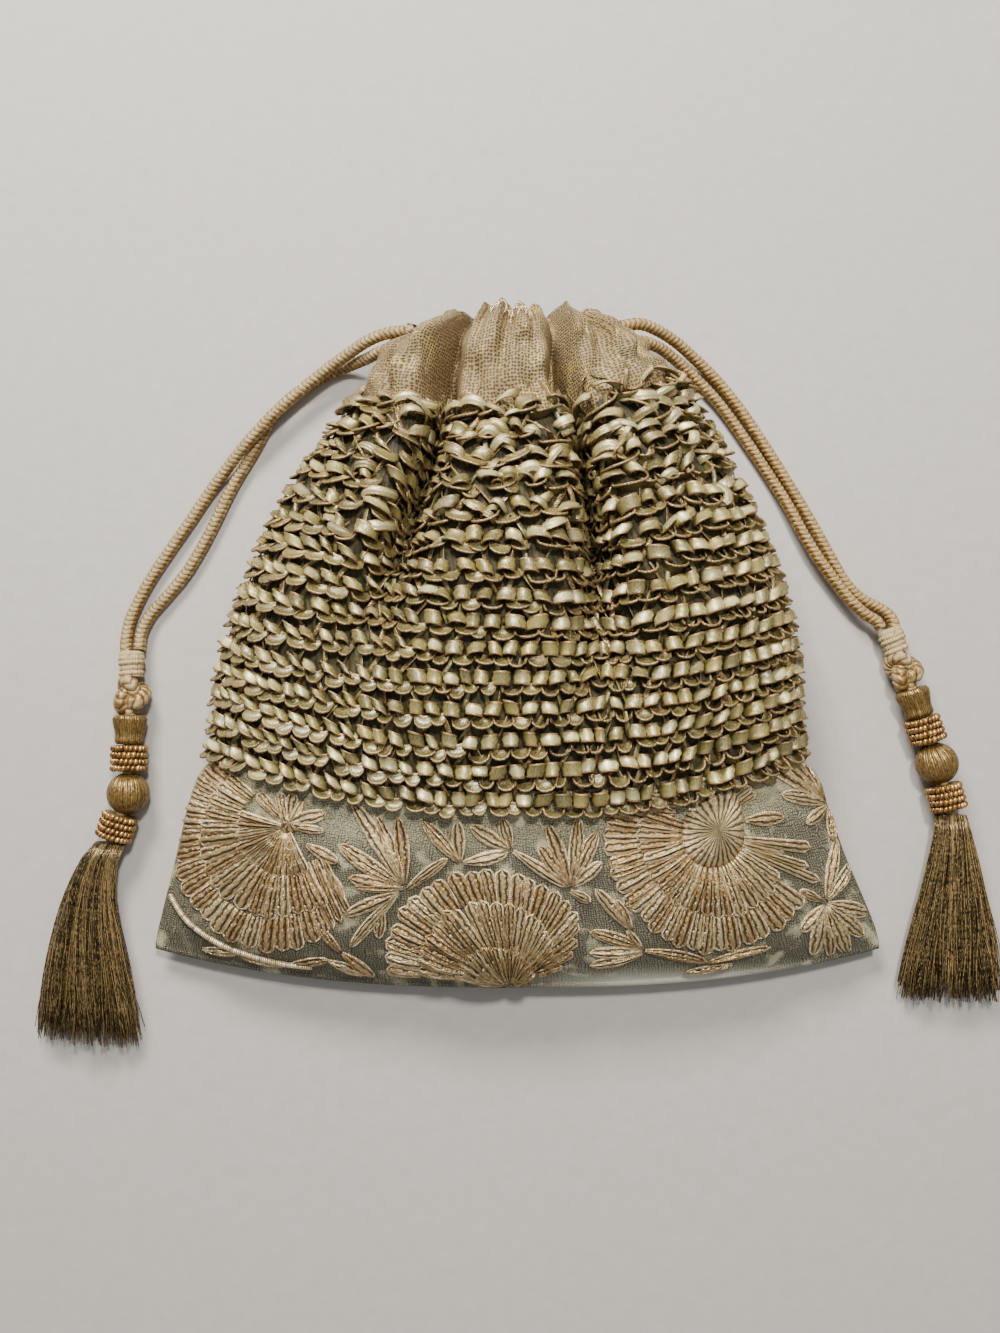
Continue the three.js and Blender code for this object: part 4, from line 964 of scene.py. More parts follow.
def ribbon_legs(draw):
    """The ribbon between rows, deeper in, that slants from one row to the next."""
    paths, outs = [], []
    for number in range(KNIT_ROWS):
        at = KNIT_FROM + (KNIT_TO - KNIT_FROM) * (number + 0.9) / KNIT_ROWS
        u_line, run, front_run = bag_line(at, 1.2)
        count = int(round(run[-1] / stitch_pitch(at)))
        pitch = run[-1] / count
        for way in (-1, 1):
            half_count = count // 2
            start = (2 * np.arange(half_count) + 0.5 * way + draw.uniform(-0.3, 0.3, half_count)) * pitch
            slant = way * draw.uniform(0.05, 0.6, half_count) * pitch
            t = np.linspace(-1, 1, 4)
            across = start[:, None] + slant[:, None] * t
            u, front = level_points(u_line, run, front_run, across)
            height = at + t * 3.6 / BAG_LENGTH + 0 * across
            outset = 1.5 - 0.5 * t * t + draw.uniform(-0.5, 0.4, (half_count, 1)) + 0 * across
            paths.append(knit_point(u, height, front, outset))
            outs.append(form_frame(u, height, front)[2])
    path, out = np.concatenate(paths), np.concatenate(outs)
    way = unit(np.gradient(path, axis=1))
    tilt = draw.uniform(-1.6, 1.6, (len(path), 1, 1))
    flat = unit(np.cross(way, out) + out * tilt)
    thick = unit(np.cross(flat, way))
    corners = np.array([(0.75, 0.0), (0.5, 0.15), (-0.5, 0.15), (-0.75, 0.0), (-0.5, -0.15), (0.5, -0.15)])
    sections = path[:, :, None] + flat[:, :, None] * corners[:, :1] + thick[:, :, None] * corners[:, 1:]
    sections[..., 2] = np.maximum(sections[..., 2], ABOVE_FLOOR)
    # painted shade: the ribbon deep between rows gets only the darker half of the tone
    hue = np.stack([draw.uniform(0, 0.5, len(path)), np.zeros(len(path))], 1)
    finish = np.zeros((len(path), 3, 6), int)
    finish[::2] = 1
    return loft(sections, np.linspace(0, 9, 4), np.linspace(0, 3, 7), hue, finish)


LOOSE_RIBBONS = 90


def loose_ribbons(draw):
    """Slack loops near the top that lie flat and slanting over the rows, their ends tucked in."""
    count = LOOSE_RIBBONS
    at = 0.58 + 0.25 * draw.uniform(0, 1, count) ** 0.55
    u = draw.uniform(-0.97, 0.97, count)
    smooth = fold_depth(u, at) < 0.1
    at, u, count = at[smooth], u[smooth], int(smooth.sum())
    front = draw.uniform(0, 1, count) < 0.72
    angle = draw.normal(0, 0.6, count)
    length = draw.uniform(4.5, 8, count)
    t = np.linspace(-1, 1, 11)
    half_width = np.abs(form(u + 0.01, at, front)[:, 0] - form(u - 0.01, at, front)[:, 0]) / 0.02
    reach = 0.5 * length[:, None] * t
    sideways = reach * np.cos(angle)[:, None] / np.maximum(half_width, 30)[:, None]
    u_run = np.clip(u[:, None] + sideways, -0.995, 0.995)
    climb = reach * np.sin(angle)[:, None] + 0.8 * np.cos(2.5 * t) * draw.uniform(-1, 1, (count, 1))
    at_run = np.minimum(at[:, None] + climb / BAG_LENGTH, 0.862)
    outset = 0.6 + (3.4 + draw.uniform(-0.3, 0.5, (count, 1))) * np.clip(1 - np.abs(t) ** 2.6, 0, 1)
    on_front = np.broadcast_to(front[:, None], u_run.shape)
    outset = np.where(on_front, outset, np.minimum(outset, 3.0))
    path = knit_point(u_run, at_run, on_front, outset)
    out = form_frame(u_run, at_run, on_front)[2]
    way = unit(np.gradient(path, axis=1))
    tilt = draw.uniform(-0.5, 0.5, (count, 1, 1))
    flat = unit(np.cross(way, out) + out * tilt)
    thick = unit(np.cross(flat, way))
    profile = np.array([
        (1.75, 0.0), (1.5, 0.22), (1.2, 0.1), (0.6, 0.42), (0.0, 0.52), (-0.6, 0.42),
        (-1.2, 0.1), (-1.5, 0.22), (-1.75, 0.0), (-1.2, -0.12), (0.0, 0.28), (1.2, -0.12),
    ])
    narrow = draw.uniform(0.6, 0.95, (count, 1, 1, 1))
    sections = path[:, :, None] + narrow * flat[:, :, None] * profile[:, :1]
    sections = sections + thick[:, :, None] * profile[:, 1:]
    sections[..., 2] = np.maximum(sections[..., 2], ABOVE_FLOOR)
    gaps = np.linalg.norm(np.diff(np.vstack([profile, profile[:1]]), axis=0), axis=1)
    hue = np.stack([draw.uniform(0, 1, count), draw.uniform(0, 0.55, count)], 1)
    finish = np.zeros((count, 10, 12), int)
    finish[..., [0, 1, 6, 7]] = 1
    return loft(sections, np.linspace(0, 9, 11), np.concatenate([[0], np.cumsum(gaps)]), hue, finish)


def round_shell(levels, outer, inner, points=240, closed_bottom=False, roll=0.0, shape=None, lift=None):
    """A cloth wall round the bag between two levels, with a rolled top edge."""
    front = np.sin(np.linspace(-math.pi / 2, math.pi / 2, int(points * 0.64)))
    back = front[::-2][1:-1]
    u = np.concatenate([front, back])
    on_front = np.concatenate([np.ones(len(front), bool), np.zeros(len(back), bool)])

    def ring(at, outset):
        more = 0.0 if shape is None else shape(u, at, on_front)
        level = form(u, at, on_front, outset + more)
        if lift is not None:
            level[:, 1] += lift(u, on_front) * smoothstep(at, 0.88, 1.0)
        return level

    walls = [ring(at, outer) for at in levels]
    if closed_bottom:
        middle = (walls[0] + form(u, levels[0], ~on_front, outer)) / 2
        ends = []
        for share in (0.2, 0.45, 0.7, 0.9):
            level = middle + (walls[0] - middle) * math.sqrt(1 - (1 - share) ** 2)
            ends.append(level - np.array([0, 2.2 * (1 - share) ** 1.5, 0]))
        walls = ends + walls
    top, under = walls[-1], ring(levels[-1], inner)
    for share in (0.2, 0.5, 0.8) if roll else ():
        arch = np.array([0, roll * math.sin(math.pi * share), 0])
        walls.append(top + (under - top) * share + arch)
    walls += [ring(at, inner) for at in (levels[::-1] if not closed_bottom else levels[:3:-1])]
    sections = np.array(walls)
    steps = np.linalg.norm(np.diff(np.vstack([sections[5], sections[5][:1]]), axis=0), axis=1)
    across = np.concatenate([[0], np.cumsum(steps)])
    climb = np.linalg.norm(np.diff(sections[:, len(front) // 2], axis=0), axis=1)
    along = np.concatenate([[0], np.cumsum(climb)])
    return loft(sections[None], along[None], across, ring=not closed_bottom)


draw = np.random.default_rng(SEED)
rows = [ribbon_row(number, draw) for number in range(KNIT_ROWS)]
for place, first in (("lower", 0), ("middle", 5), ("upper", 10)):
    make(f"knit_rows_{place}", sum(rows[first:first + 5], []), [ribbon_satin, ribbon_edge],
         ["knit_body"] if first == 0 else ())
make("knit_loose_ribbons", [loose_ribbons(draw)], [ribbon_satin, ribbon_edge])
make("knit_ribbon_between_rows", [ribbon_legs(draw)], [ribbon_satin, ribbon_edge])
# a dark shell under the knitting: painted shade seen between the stitches
make("knit_inner_face", [round_shell(np.linspace(0.284, 0.844, 46), 0.5, 0.1, 180)], [knit_depth])


# The embroidered band

band_levels = np.concatenate([np.linspace(0, 0.05, 14), np.linspace(0.06, 0.3, 30)])
make("band_cloth", [round_shell(band_levels, 0.0, -1.6, 240, closed_bottom=True, roll=0.4)], [lining_net],
     ["base_band"])


def on_band(x, y, height):
    """Lays plan points on the front of the band, and wraps what runs past its edges."""
    u, at = x / BASE_HALF, y / BAG_LENGTH + 0.5
    for _ in range(16):
        width, bow, skew, shift = (section_value(at, k) for k in (1, 5, 6, 7))
        u = (x / BASE_HALF - shift) / width
        edge = np.minimum(np.abs(u), 1)
        at = 0.4 * at + 0.6 * (y / BAG_LENGTH + 0.5 - bow * edge**2.5 - skew * u)
    past_side = np.maximum(np.abs(u) - 0.985, 0) * section_value(at, 1) * BASE_HALF
    past_end = np.maximum(0.006 - at, 0) * BAG_LENGTH
    u, at = np.clip(u, -0.985, 0.985), np.clip(at, 0.006, 0.29)
    out = form_frame(u, at)[2]
    place = form(u, at) + out * height[..., None]
    place[..., 0] += np.sign(u) * 0.35 * np.minimum(past_side, 3)
    place[..., 1] -= 0.5 * np.minimum(past_end, 3)
    place[..., 2] -= 0.9 * past_side + 0.8 * past_end
    place[..., 2] = np.maximum(place[..., 2], 0.3 + 0.3 * np.maximum(height, 0))
    return place


PETAL_STEPS = 11
PETAL_ACROSS = 9


def petal(x, y, heading, length, base, tip, height, hue, ridges=2, curl=0.0, pointed=False, seat=0.0):
    """One petal of flat gold strip with its outline cord. base and tip are its widths."""
    t = np.linspace(0, 1, PETAL_STEPS) ** 0.85
    head = np.radians(heading + curl * t)
    step = np.diff(t) * length
    run_x = x + np.concatenate([[0], np.cumsum(step * np.cos(head[:-1]))])
    run_y = y + np.concatenate([[0], np.cumsum(step * np.sin(head[:-1]))])
    if pointed:
        half = 0.5 * (base + (tip - base) * np.sin(np.pi * np.minimum(t / 0.62, 1) / 2))
        half = half * np.sqrt(np.clip(1 - np.maximum(0, (t - 0.5) / 0.5) ** 1.7, 0, 1)) + 0.06
    else:
        turn_at = 1 - min(0.45, 0.5 * tip / length)
        half = 0.5 * (base + (tip - base) * np.minimum(t / turn_at, 1) ** 0.8)
        half = half * np.sqrt(np.clip(1 - (np.maximum(0, t - turn_at) / (1 - turn_at)) ** 2, 0, 1)) + 0.06
    j = np.sin(np.linspace(-math.pi / 2, math.pi / 2, PETAL_ACROSS))
    swell = np.sin(np.pi * np.clip(0.12 + 0.8 * t, 0, 1)) ** 0.5
    furrows = 0.74 + 0.42 * np.cos(ridges * np.pi * j + (ridges - 2) * np.pi)
    top = np.sqrt(np.clip(1 - j**2, 0, 1)) ** 0.6 * furrows
    rise = seat + 1.35 * height * swell[:, None] * top
    side = half[:, None] * j
    side = np.concatenate([side, np.zeros((len(t), 1))], 1)
    rise = np.concatenate([rise, np.full((len(t), 1), -0.35)], 1)
    across_x, across_y = -np.sin(head), np.cos(head)
    plan_x = run_x[:, None] + across_x[:, None] * side
    plan_y = run_y[:, None] + across_y[:, None] * side
    sections = on_band(plan_x, plan_y, rise)
    widths = np.concatenate([2 * j, [2.6, 3.2]])
    body = (sections, t * length, widths, hue, float(ridges > 2))
    rim = np.concatenate([half, half[::-1][1:]]) - 0.02
    sign = np.concatenate([np.ones(len(t)), -np.ones(len(t) - 1)])
    order = np.concatenate([np.arange(len(t)), np.arange(len(t) - 1)[::-1]])
    edge_x = run_x[order] + across_x[order] * rim * sign
    edge_y = run_y[order] + across_y[order] * rim * sign
    edge = on_band(edge_x, edge_y, seat + 0.34 * height + 0.0 * rim)
    return body, edge


def sewn(name, petals, node, outline=0.3, extra=()):
    """Joins petals and their outlines into one piece that stands for its CAD node."""
    sections = np.array([p[0][0] for p in petals])
    along = np.array([p[0][1] for p in petals])
    widths = petals[0][0][2]
    hues = np.array([(p[0][3], p[0][4]) for p in petals])
    parts = [loft(sections, along, widths, hues, 0)]
    edges = np.array([p[1] for p in petals])
    sheen = np.stack([np.clip(hues[:, 0] + 0.15, 0, 1), hues[:, 1]], 1)
    parts.append(tube(edges, outline, 5, tint=sheen, finish=1))
    return make(name, parts + list(extra), [gold_strip, gold_outline], [node])


def tier(draw, heart, angles, count, inner, outer, base, tip, height, seat=0.0):
    """A fan's tier. inner and outer are radii that change with the angle."""
    petals = []
    span = (angles[1] - angles[0]) / count
    for i in range(count):
        angle = angles[0] + (i + 0.5) * span + draw.uniform(-0.12, 0.12) * span
        near, far = np.interp(angle, *inner), np.interp(angle, *outer)
        far = far * (1 + draw.uniform(-0.025, 0.02))
        x, y = np.array(heart) + near * toward(angle)
        room = math.radians(span)
        petals.append(petal(x, y, angle + draw.uniform(-2, 2), far - near, max(base, near * room * 0.84),
                            min(tip, far * room * 0.93), height * (1 + draw.uniform(-0.15, 0.15)),
                            draw.uniform(0, 1) ** 1.4, draw.choice([2, 2, 3]), draw.uniform(-5, 5),
                            seat=seat))
    return petals


def leaf(draw, x0, y0, x1, y1, width, height=0.9, curl=0.0, pointed=True):
    heading = math.degrees(math.atan2(y1 - y0, x1 - x0)) - curl / 2
    base = 0.5 if pointed else 0.6 * width
    return petal(x0, y0, heading, math.hypot(x1 - x0, y1 - y0), base, width, height,
                 draw.uniform(0.1, 1), draw.choice([2, 3]), curl, pointed, 0.05)


def left_fan(draw):
    heart = (-62.8, -52.3)
    first = ([162, 204, 243, 300], [14.5, 16.0, 14.5, 13.0])
    second = ([138, 173, 195, 229, 247, 275, 298], [22, 25.3, 27.4, 28.9, 27.4, 24.1, 24])
    third = ([128, 154, 204, 235, 256, 279, 292], [30, 32, 37.4, 37.6, 36.4, 33, 31])
    inset = lambda radii, room: (radii[0], [r - room for r in radii[1]])
    petals = tier(draw, heart, (128, 292), 21, inset(second, 0.6), third, 2.4, 4.4, 1.0)
    petals += tier(draw, heart, (138, 298), 17, ([138, 162, 300], [12.5, 13.8, 12.6]), second, 2.2, 5.2,
                   1.35, 0.15)
    petals += tier(draw, heart, (162, 300), 15, ([160, 300], [1.6, 1.6]), first, 0.7, 3.6, 1.5, 0.5)
    for shift in (0.0, 2.2, 4.4):
        petals.append(leaf(draw, -57.5 + shift, -62.0 + 0.4 * shift, -50.8 + shift, -80.5 + shift, 1.9, 1.0,
                           pointed=False))
    petals += [leaf(draw, -61.5, -50.6, -52.0, -48.4, 3.4), leaf(draw, -61.0, -52.2, -52.6, -53.2, 2.0),
               leaf(draw, -57.5, -57.0, -48.8, -61.6, 3.2), leaf(draw, -52.5, -63.5, -47.6, -71.8, 3.0),
               leaf(draw, -63.6, -50.5, -65.2, -43.0, 2.8, pointed=False),
               leaf(draw, -62.2, -50.3, -61.2, -43.2, 2.8, pointed=False),
               leaf(draw, -65.5, -49.2, -71.5, -43.4, 3.0, pointed=False)]
    rim, _ = spline([(-98.6, -72.6, 0), (-93.5, -79.5, 0), (-84.5, -85.6, 0), (-76.0, -88.8, 0),
                     (-66.5, -91.2, 0), (-58.0, -92.0, 0)], 1.0)
    cord = tube(on_band(rim[:, 0], rim[:, 1], 0.9 + 0 * rim[:, 0])[None], 0.75, 8, tint=(0.6, 0.4), finish=1)
    return petals, [cord, satin_dome((-61.6, -51.2), 2.6, 1.6, (0.0, 0.4))]


def centre_fan(draw):
    heart = (-2.3, -97.6)
    first = ([28, 67, 110, 144, 172], [8, 10.2, 13.6, 16, 17])
    second = ([40, 69, 98, 126, 152, 172], [16, 21.8, 25.9, 28.8, 28.3, 26])
    third = ([20, 37, 53, 73, 88, 107, 123, 149, 174], [14, 23.2, 29.5, 31.1, 34.3, 35.9, 37.8, 37.6, 35])
    petals = tier(draw, heart, (20, 175), 22,
                  ([20, 40, 69, 98, 126, 152, 174], [7, 15, 20.6, 24.7, 27.4, 27, 25]), third, 2.2, 4.6, 1.0)
    petals += tier(draw, heart, (40, 173), 17, ([40, 67, 110, 144, 172], [7.4, 9, 12.2, 14.6, 15.4]), second,
                   1.8, 4.6, 1.35, 0.15)
    petals += tier(draw, heart, (26, 174), 15, ([20, 180], [1.2, 1.2]), first, 0.6, 3.2, 1.4, 0.4)
    return petals, []


def satin_dome(centre, radius, height, lean):
    """A padded round of satin stitch, highest towards one side."""
    rings, sides = 14, 40
    turn = 2 * np.pi * np.arange(sides) / sides
    sections = []
    for i in range(rings):
        share = max(0.04, i / (rings - 1))
        x = centre[0] + radius * share * np.cos(turn) + lean[0] * (1 - share)
        y = centre[1] + radius * share * np.sin(turn) + lean[1] * (1 - share)
        x = x + 2.4 * np.maximum(0, np.cos(turn - math.radians(66))) ** 5 * share
        y = y + 4.2 * np.maximum(0, np.cos(turn - math.radians(66))) ** 5 * share
        lift = height * (1 - share**2) ** 0.6 + 0.1 * np.sin(18 * turn) * share
        sections.append(on_band(x, y, lift + 0.25 * (share < 1) - 0.35 * (share == 1)))
    across = np.arange(sides + 1) / sides * 2 * math.pi * radius
    return loft(np.array(sections)[None], np.linspace(0, radius, rings)[None], across, (0.75, 0.3), 0)


def right_fan(draw):
    heart = (52.6, -54.5)
    second = ([160, 177, 207, 242, 272, 300, 332], [20, 21.1, 20.1, 21.4, 22.9, 24.8, 23.6])
    third = ([160, 178, 202, 228, 249, 263, 282, 302, 326],
             [28, 29.4, 29.6, 30.1, 32, 33.1, 33.3, 34.3, 33.5])
    under_second = (second[0], [r - 0.8 for r in second[1]])
    petals = tier(draw, heart, (160, 326), 22, under_second, third, 2.4, 4.4, 1.0)
    petals += tier(draw, heart, (158, 332), 20, ([150, 340], [8.6, 8.6]), second, 2.2, 4.4, 1.35, 0.15)
    long_petals = ((337, 9, 35, 2.3), (341.5, 10, 30, 2.0), (346, 9, 21, 2.2), (352, 9, 29.5, 3.0))
    for angle, near, far, width in long_petals:
        base = np.array(heart) + near * toward(angle)
        petals.append(petal(*base, angle, far - near, 1.2, width, 1.1, draw.uniform(0.5, 1), 2, 0, seat=0.1))
    petals += [leaf(draw, 62.0, -50.6, 73.6, -50.0, 3.6),
               leaf(draw, 57.0, -46.2, 63.9, -41.6, 1.8, pointed=False),
               leaf(draw, 58.4, -47.4, 65.0, -43.2, 1.8, pointed=False),
               leaf(draw, 43.5, -46.5, 33.0, -43.5, 3.4, curl=30),
               leaf(draw, 42.5, -48.5, 32.5, -47.6, 3.0, curl=24),
               leaf(draw, 44.5, -45.6, 38.0, -41.4, 2.6, pointed=False)]
    turn = np.radians(np.linspace(-70, 250, 26))
    loop = on_band(50.8 + 2.3 * np.cos(turn), -41.4 + 2.6 * np.sin(turn), np.full(26, 0.8))
    stem, _ = spline([(51.6, -43.8, 0), (53.2, -45.6, 0), (50.5, -47.6, 0), (45.5, -47.2, 0)], 0.8)
    stem = on_band(stem[:, 0], stem[:, 1], np.full(len(stem), 0.8))
    extra = [tube(loop[None], 0.5, 7, tint=(0.8, 0.4), finish=1),
             tube(stem[None], 0.5, 7, tint=(0.7, 0.4), finish=1),
             satin_dome(heart, 9.3, 2.6, (1.0, 1.6))]
    return petals, extra


SPRAYS = {
    "spray_left": [
        (-31.6, -67.4, -45.2, -45.1, 4.2), (-31.6, -67.6, -48.6, -56.5, 4.4),
        (-31.2, -67.4, -38.7, -48.5, 4.0), (-30.8, -67.2, -32.7, -49.0, 3.8),
        (-32.0, -68.2, -46.0, -65.6, 3.6), (-31.2, -68.6, -44.5, -68.4, 2.6),
        (-30.0, -68.6, -19.0, -60.4, 2.6), (-32.5, -70.0, -47.4, -76.6, 3.4),
        (-33.0, -70.6, -46.5, -86.0, 2.8), (-37.0, -74.4, -38.3, -83.0, 3.0),
    ],
    "spray_centre": [
        (-15.9, -61.4, -25.7, -50.4, 3.6), (-15.6, -61.0, -16.3, -50.2, 3.4),
        (-14.8, -61.4, -3.0, -58.6, 3.4), (-2.6, -57.8, -12.9, -51.4, 3.8),
        (-2.0, -57.4, -4.4, -49.4, 3.2), (-1.4, -58.4, 13.0, -68.2, 2.8),
    ],
    "spray_middle_right": [
        (13.6, -68.0, 5.4, -56.8, 3.6), (13.8, -67.6, 7.4, -50.9, 3.8),
        (14.2, -67.4, 15.8, -48.9, 3.8), (14.4, -67.6, 21.3, -53.4, 4.2),
        (14.6, -68.0, 22.3, -61.4, 3.4), (14.2, -69.4, 19.5, -72.4, 2.4),
    ],
    "spray_right_top": [
        (87.6, -46.0, 66.1, -33.6, 4.6), (87.8, -45.6, 74.6, -34.0, 4.0),
        (88.2, -45.4, 80.6, -33.8, 3.4), (87.4, -46.6, 72.8, -43.9, 3.6),
        (87.6, -47.4, 80.5, -51.8, 3.2), (88.4, -47.6, 89.4, -57.0, 3.4),
    ],
    "spray_right_corner": [
        (86.2, -75.0, 79.8, -82.2, 4.2), (86.2, -75.4, 84.6, -90.0, 4.4),
        (86.8, -75.4, 95.6, -90.7, 4.6), (87.2, -75.0, 99.4, -84.6, 4.4),
        (87.4, -74.4, 100.8, -78.0, 4.2), (86.8, -73.2, 90.6, -56.8, 3.8),
        (87.0, -73.4, 95.3, -63.6, 3.6), (86.6, -75.6, 90.4, -91.0, 3.4),
        (85.4, -73.6, 78.6, -70.4, 2.2),
    ],
    "spray_lower_left": [
        (-48.8, -87.6, -40.7, -95.4, 3.4), (-90.0, -88.0, -79.5, -88.6, 2.8),
        (-79.5, -89.6, -66.0, -92.4, 2.2), (-66.0, -92.4, -53.0, -89.8, 2.6),
        (-53.0, -90.2, -43.0, -94.6, 3.4), (-49.4, -87.0, -54.5, -80.5, 2.4),
    ],
    "spray_lower_right": [
        (34.4, -85.6, 19.6, -80.9, 3.4), (34.2, -86.4, 19.8, -86.8, 3.4),
        (34.4, -87.4, 20.0, -90.8, 3.4), (30.8, -80.2, 20.8, -68.8, 3.2),
        (31.0, -79.8, 26.2, -71.8, 3.2), (35.2, -86.6, 53.2, -90.8, 2.8),
        (53.2, -90.8, 71.0, -86.8, 2.4), (60.5, -91.6, 47.4, -93.9, 2.2),
        (29.8, -80.4, 34.0, -86.0, 1.8),
    ],
}

draw = np.random.default_rng(SEED + 1)
for name, build in (("fan_left", left_fan), ("fan_centre", centre_fan), ("fan_right", right_fan)):
    petals, extra = build(draw)
    sewn(name + "_petals", petals, name, extra=extra)
for name, leaves in SPRAYS.items():
    sewn(name + "_leaves", [leaf(draw, *facts, curl=draw.uniform(-12, 12)) for facts in leaves], name)


# The casing

CASING_FROM = 0.8


crease_draw = np.random.default_rng(SEED + 4)
# Each crease: place across, half width, depth, level, half height and lean
CREASE_RANGES = ((-0.95, 0.95), (0.02, 0.055), (0.5, 1.9), (0.85, 1.0), (0.01, 0.028), (-1.8, 1.8))
CASING_CREASES = np.stack([crease_draw.uniform(low, high, 64) for low, high in CREASE_RANGES], 1)
# Each pucker: its shares across and up, and where its wave starts
PUCKER_RANGES = ((-1, 1), (-1, 1), (0, 6))
CASING_PUCKERS = np.stack([crease_draw.uniform(low, high, 14) for low, high in PUCKER_RANGES], 1)


def casing_puff(u, at, front):
    """How far the casing swells between its folds, and its creases and puckers."""
    lobes = 4.6 * np.exp(-(((u + 0.68) / 0.2) ** 2)) + 3.6 * np.exp(-(((u + 0.06) / 0.28) ** 4))
    lobes = lobes + 4.4 * np.exp(-(((u - 0.72) / 0.18) ** 2)) + 3.4 * np.exp(-(((u - 0.44) / 0.04) ** 2))
    lobes = lobes - 1.8 * np.exp(-(((u + 0.36) / 0.05) ** 2)) - 11.0 * np.clip(fold_depth(u, at), 0, 0.6)
    rise = np.sin(np.pi * np.clip((at - 0.81) / 0.21, 0, 1)) ** 0.6
    relief = 0.0 * u
    for place, wide, deep, level, tall, lean in CASING_CREASES:
        off = (u - place - lean * (at - level)) / wide
        relief = relief - deep * np.exp(-(off**2) - ((at - level) / tall) ** 2)
    for x_share, y_share, start in CASING_PUCKERS:
        relief = relief + 0.24 * np.sin(36 * x_share * u + 90 * y_share * at + start)
    turn_in = 5.0 * np.maximum(0, (at - 0.94) / 0.055) ** 2
    seen = rise * lobes + relief * smoothstep(at, 0.8, 0.86) - turn_in
    return np.where(front, seen, 0.4 * relief - 0.4 * turn_in)


def casing_lift(u, front):
    """How much higher or lower than level the mouth's edge runs."""
    bumps = -0.6 - 2.0 * np.exp(-(((u + 0.36) / 0.05) ** 2)) - 1.6 * np.exp(-(((u + 0.9) / 0.2) ** 2))
    bumps = bumps + 0.9 * np.exp(-(((u + 0.12) / 0.16) ** 2)) - 1.5 * np.exp(-(((u + 0.02) / 0.03) ** 2))
    bumps = bumps - 2.4 * np.exp(-(((u - 0.26) / 0.04) ** 2)) + 1.6 * np.exp(-(((u - 0.5) / 0.2) ** 2))
    return np.where(front, bumps + 0.3 * np.sin(37 * u) + 0.2 * np.sin(83 * u), -0.5 + 0.3 * np.sin(30 * u))


def rim_tufts(draw, count=16):
    """Small loops of gold thread along the mouth's edge."""
    u = np.sort(draw.uniform(-0.3, 0.1, count))
    at = draw.uniform(0.97, 0.992, count)
    base = form(u, at, True, -0.4 + casing_puff(u, at, True))
    base[:, 1] += casing_lift(u, True) * smoothstep(at, 0.88, 1.0)
    side, rise, out = form_frame(u, at)
    turn = np.linspace(-0.6, math.pi + 0.6, 12)
    wide, tall = draw.uniform(0.7, 1.5, (count, 1, 1)), draw.uniform(0.8, 2.2, (count, 1, 1))
    lean = draw.uniform(-0.5, 0.5, (count, 1, 1))
    loops = base[:, None] + side[:, None] * (wide * np.cos(turn)[None, :, None])
    upward = rise[:, None] + lean * side[:, None] + 0.3 * out[:, None]
    loops = loops + upward * (tall * np.sin(turn)[None, :, None])
    return tube(loops, 0.3, 6, tint=(0.7, 0.5), finish=1)


casing_levels = np.linspace(CASING_FROM, 0.995, 40)
draw = np.random.default_rng(SEED + 2)
casing_wall = round_shell(casing_levels, 0.2, -1.7, 420, roll=1.5, shape=casing_puff, lift=casing_lift)
make("casing_cloth", [casing_wall, rim_tufts(draw)], [casing_net, gold_outline], ["casing"])


# Bindings, knots, beads and tassels


def turned_piece(place, profile, sides, ripple=None, tint=(0.5, 0.5), finish=0, flatten=1.0):
    """A round piece along its chain. profile is a list of distance along and radius."""
    (x, y), heading, height = place
    way, side = toward(heading), toward(heading - 90)
    run, radius = np.array(profile, float).T
    turn = 2 * np.pi * np.arange(sides) / sides
    reach = radius[:, None]
    if ripple is not None:
        reach = reach + ripple(turn[None], run[:, None]) * (radius[:, None] > 1)
    plan = np.array([x, y]) + run[:, None, None] * way + (reach * np.cos(turn))[..., None] * side
    level = height + reach * np.sin(turn) * flatten
    sections = np.concatenate([plan, level[..., None]], -1)
    across = np.arange(sides + 1) / sides * 2 * math.pi * radius.max()
    return loft(sections[None], run[None], across, tint, finish)


def smooth_profile(points, steps):
    run, radius = np.array(points, float).T
    even = np.linspace(0, 1, steps)
    place = np.linspace(0, 1, len(run))
    wide = np.interp(even, place, radius)
    for _ in range(3):
        wide[1:-1] = (wide[:-2] + 2 * wide[1:-1] + wide[2:]) / 4
    return np.stack([np.interp(even, place, run), wide], 1)


def wrap_piece(side, place):
    """The end of the cord wound round both strands, uneven from turn to turn."""
    half = WRAP_WIDTH / 2
    chance = np.random.default_rng(SEED + 5).uniform(-1, 1, 24)
    profile = smooth_profile([(-0.3, 0.55 * half), (0.2, 0.84 * half), (0.3 * WRAP_LENGTH, 0.93 * half),
                              (0.7 * WRAP_LENGTH, 0.86 * half), (WRAP_LENGTH, 0.84 * half),
                              (WRAP_LENGTH + 0.4, 0.5 * half)], 72)

    def winding(turn, run):
        coil = run / 1.5 + turn / (2 * np.pi)
        ridges = 0.42 * np.abs(np.sin(np.pi * coil)) - 0.34
        return ridges + 0.22 * eased(chance, coil * 2) + 0.14 * np.sin(3 * turn)

    part = turned_piece(place, profile, 56, winding, (0.7, 0.5))
    return make(f"cord_wrap_{side}_winding", [part], [pale_binding], [f"cord_wrap_{side}"])


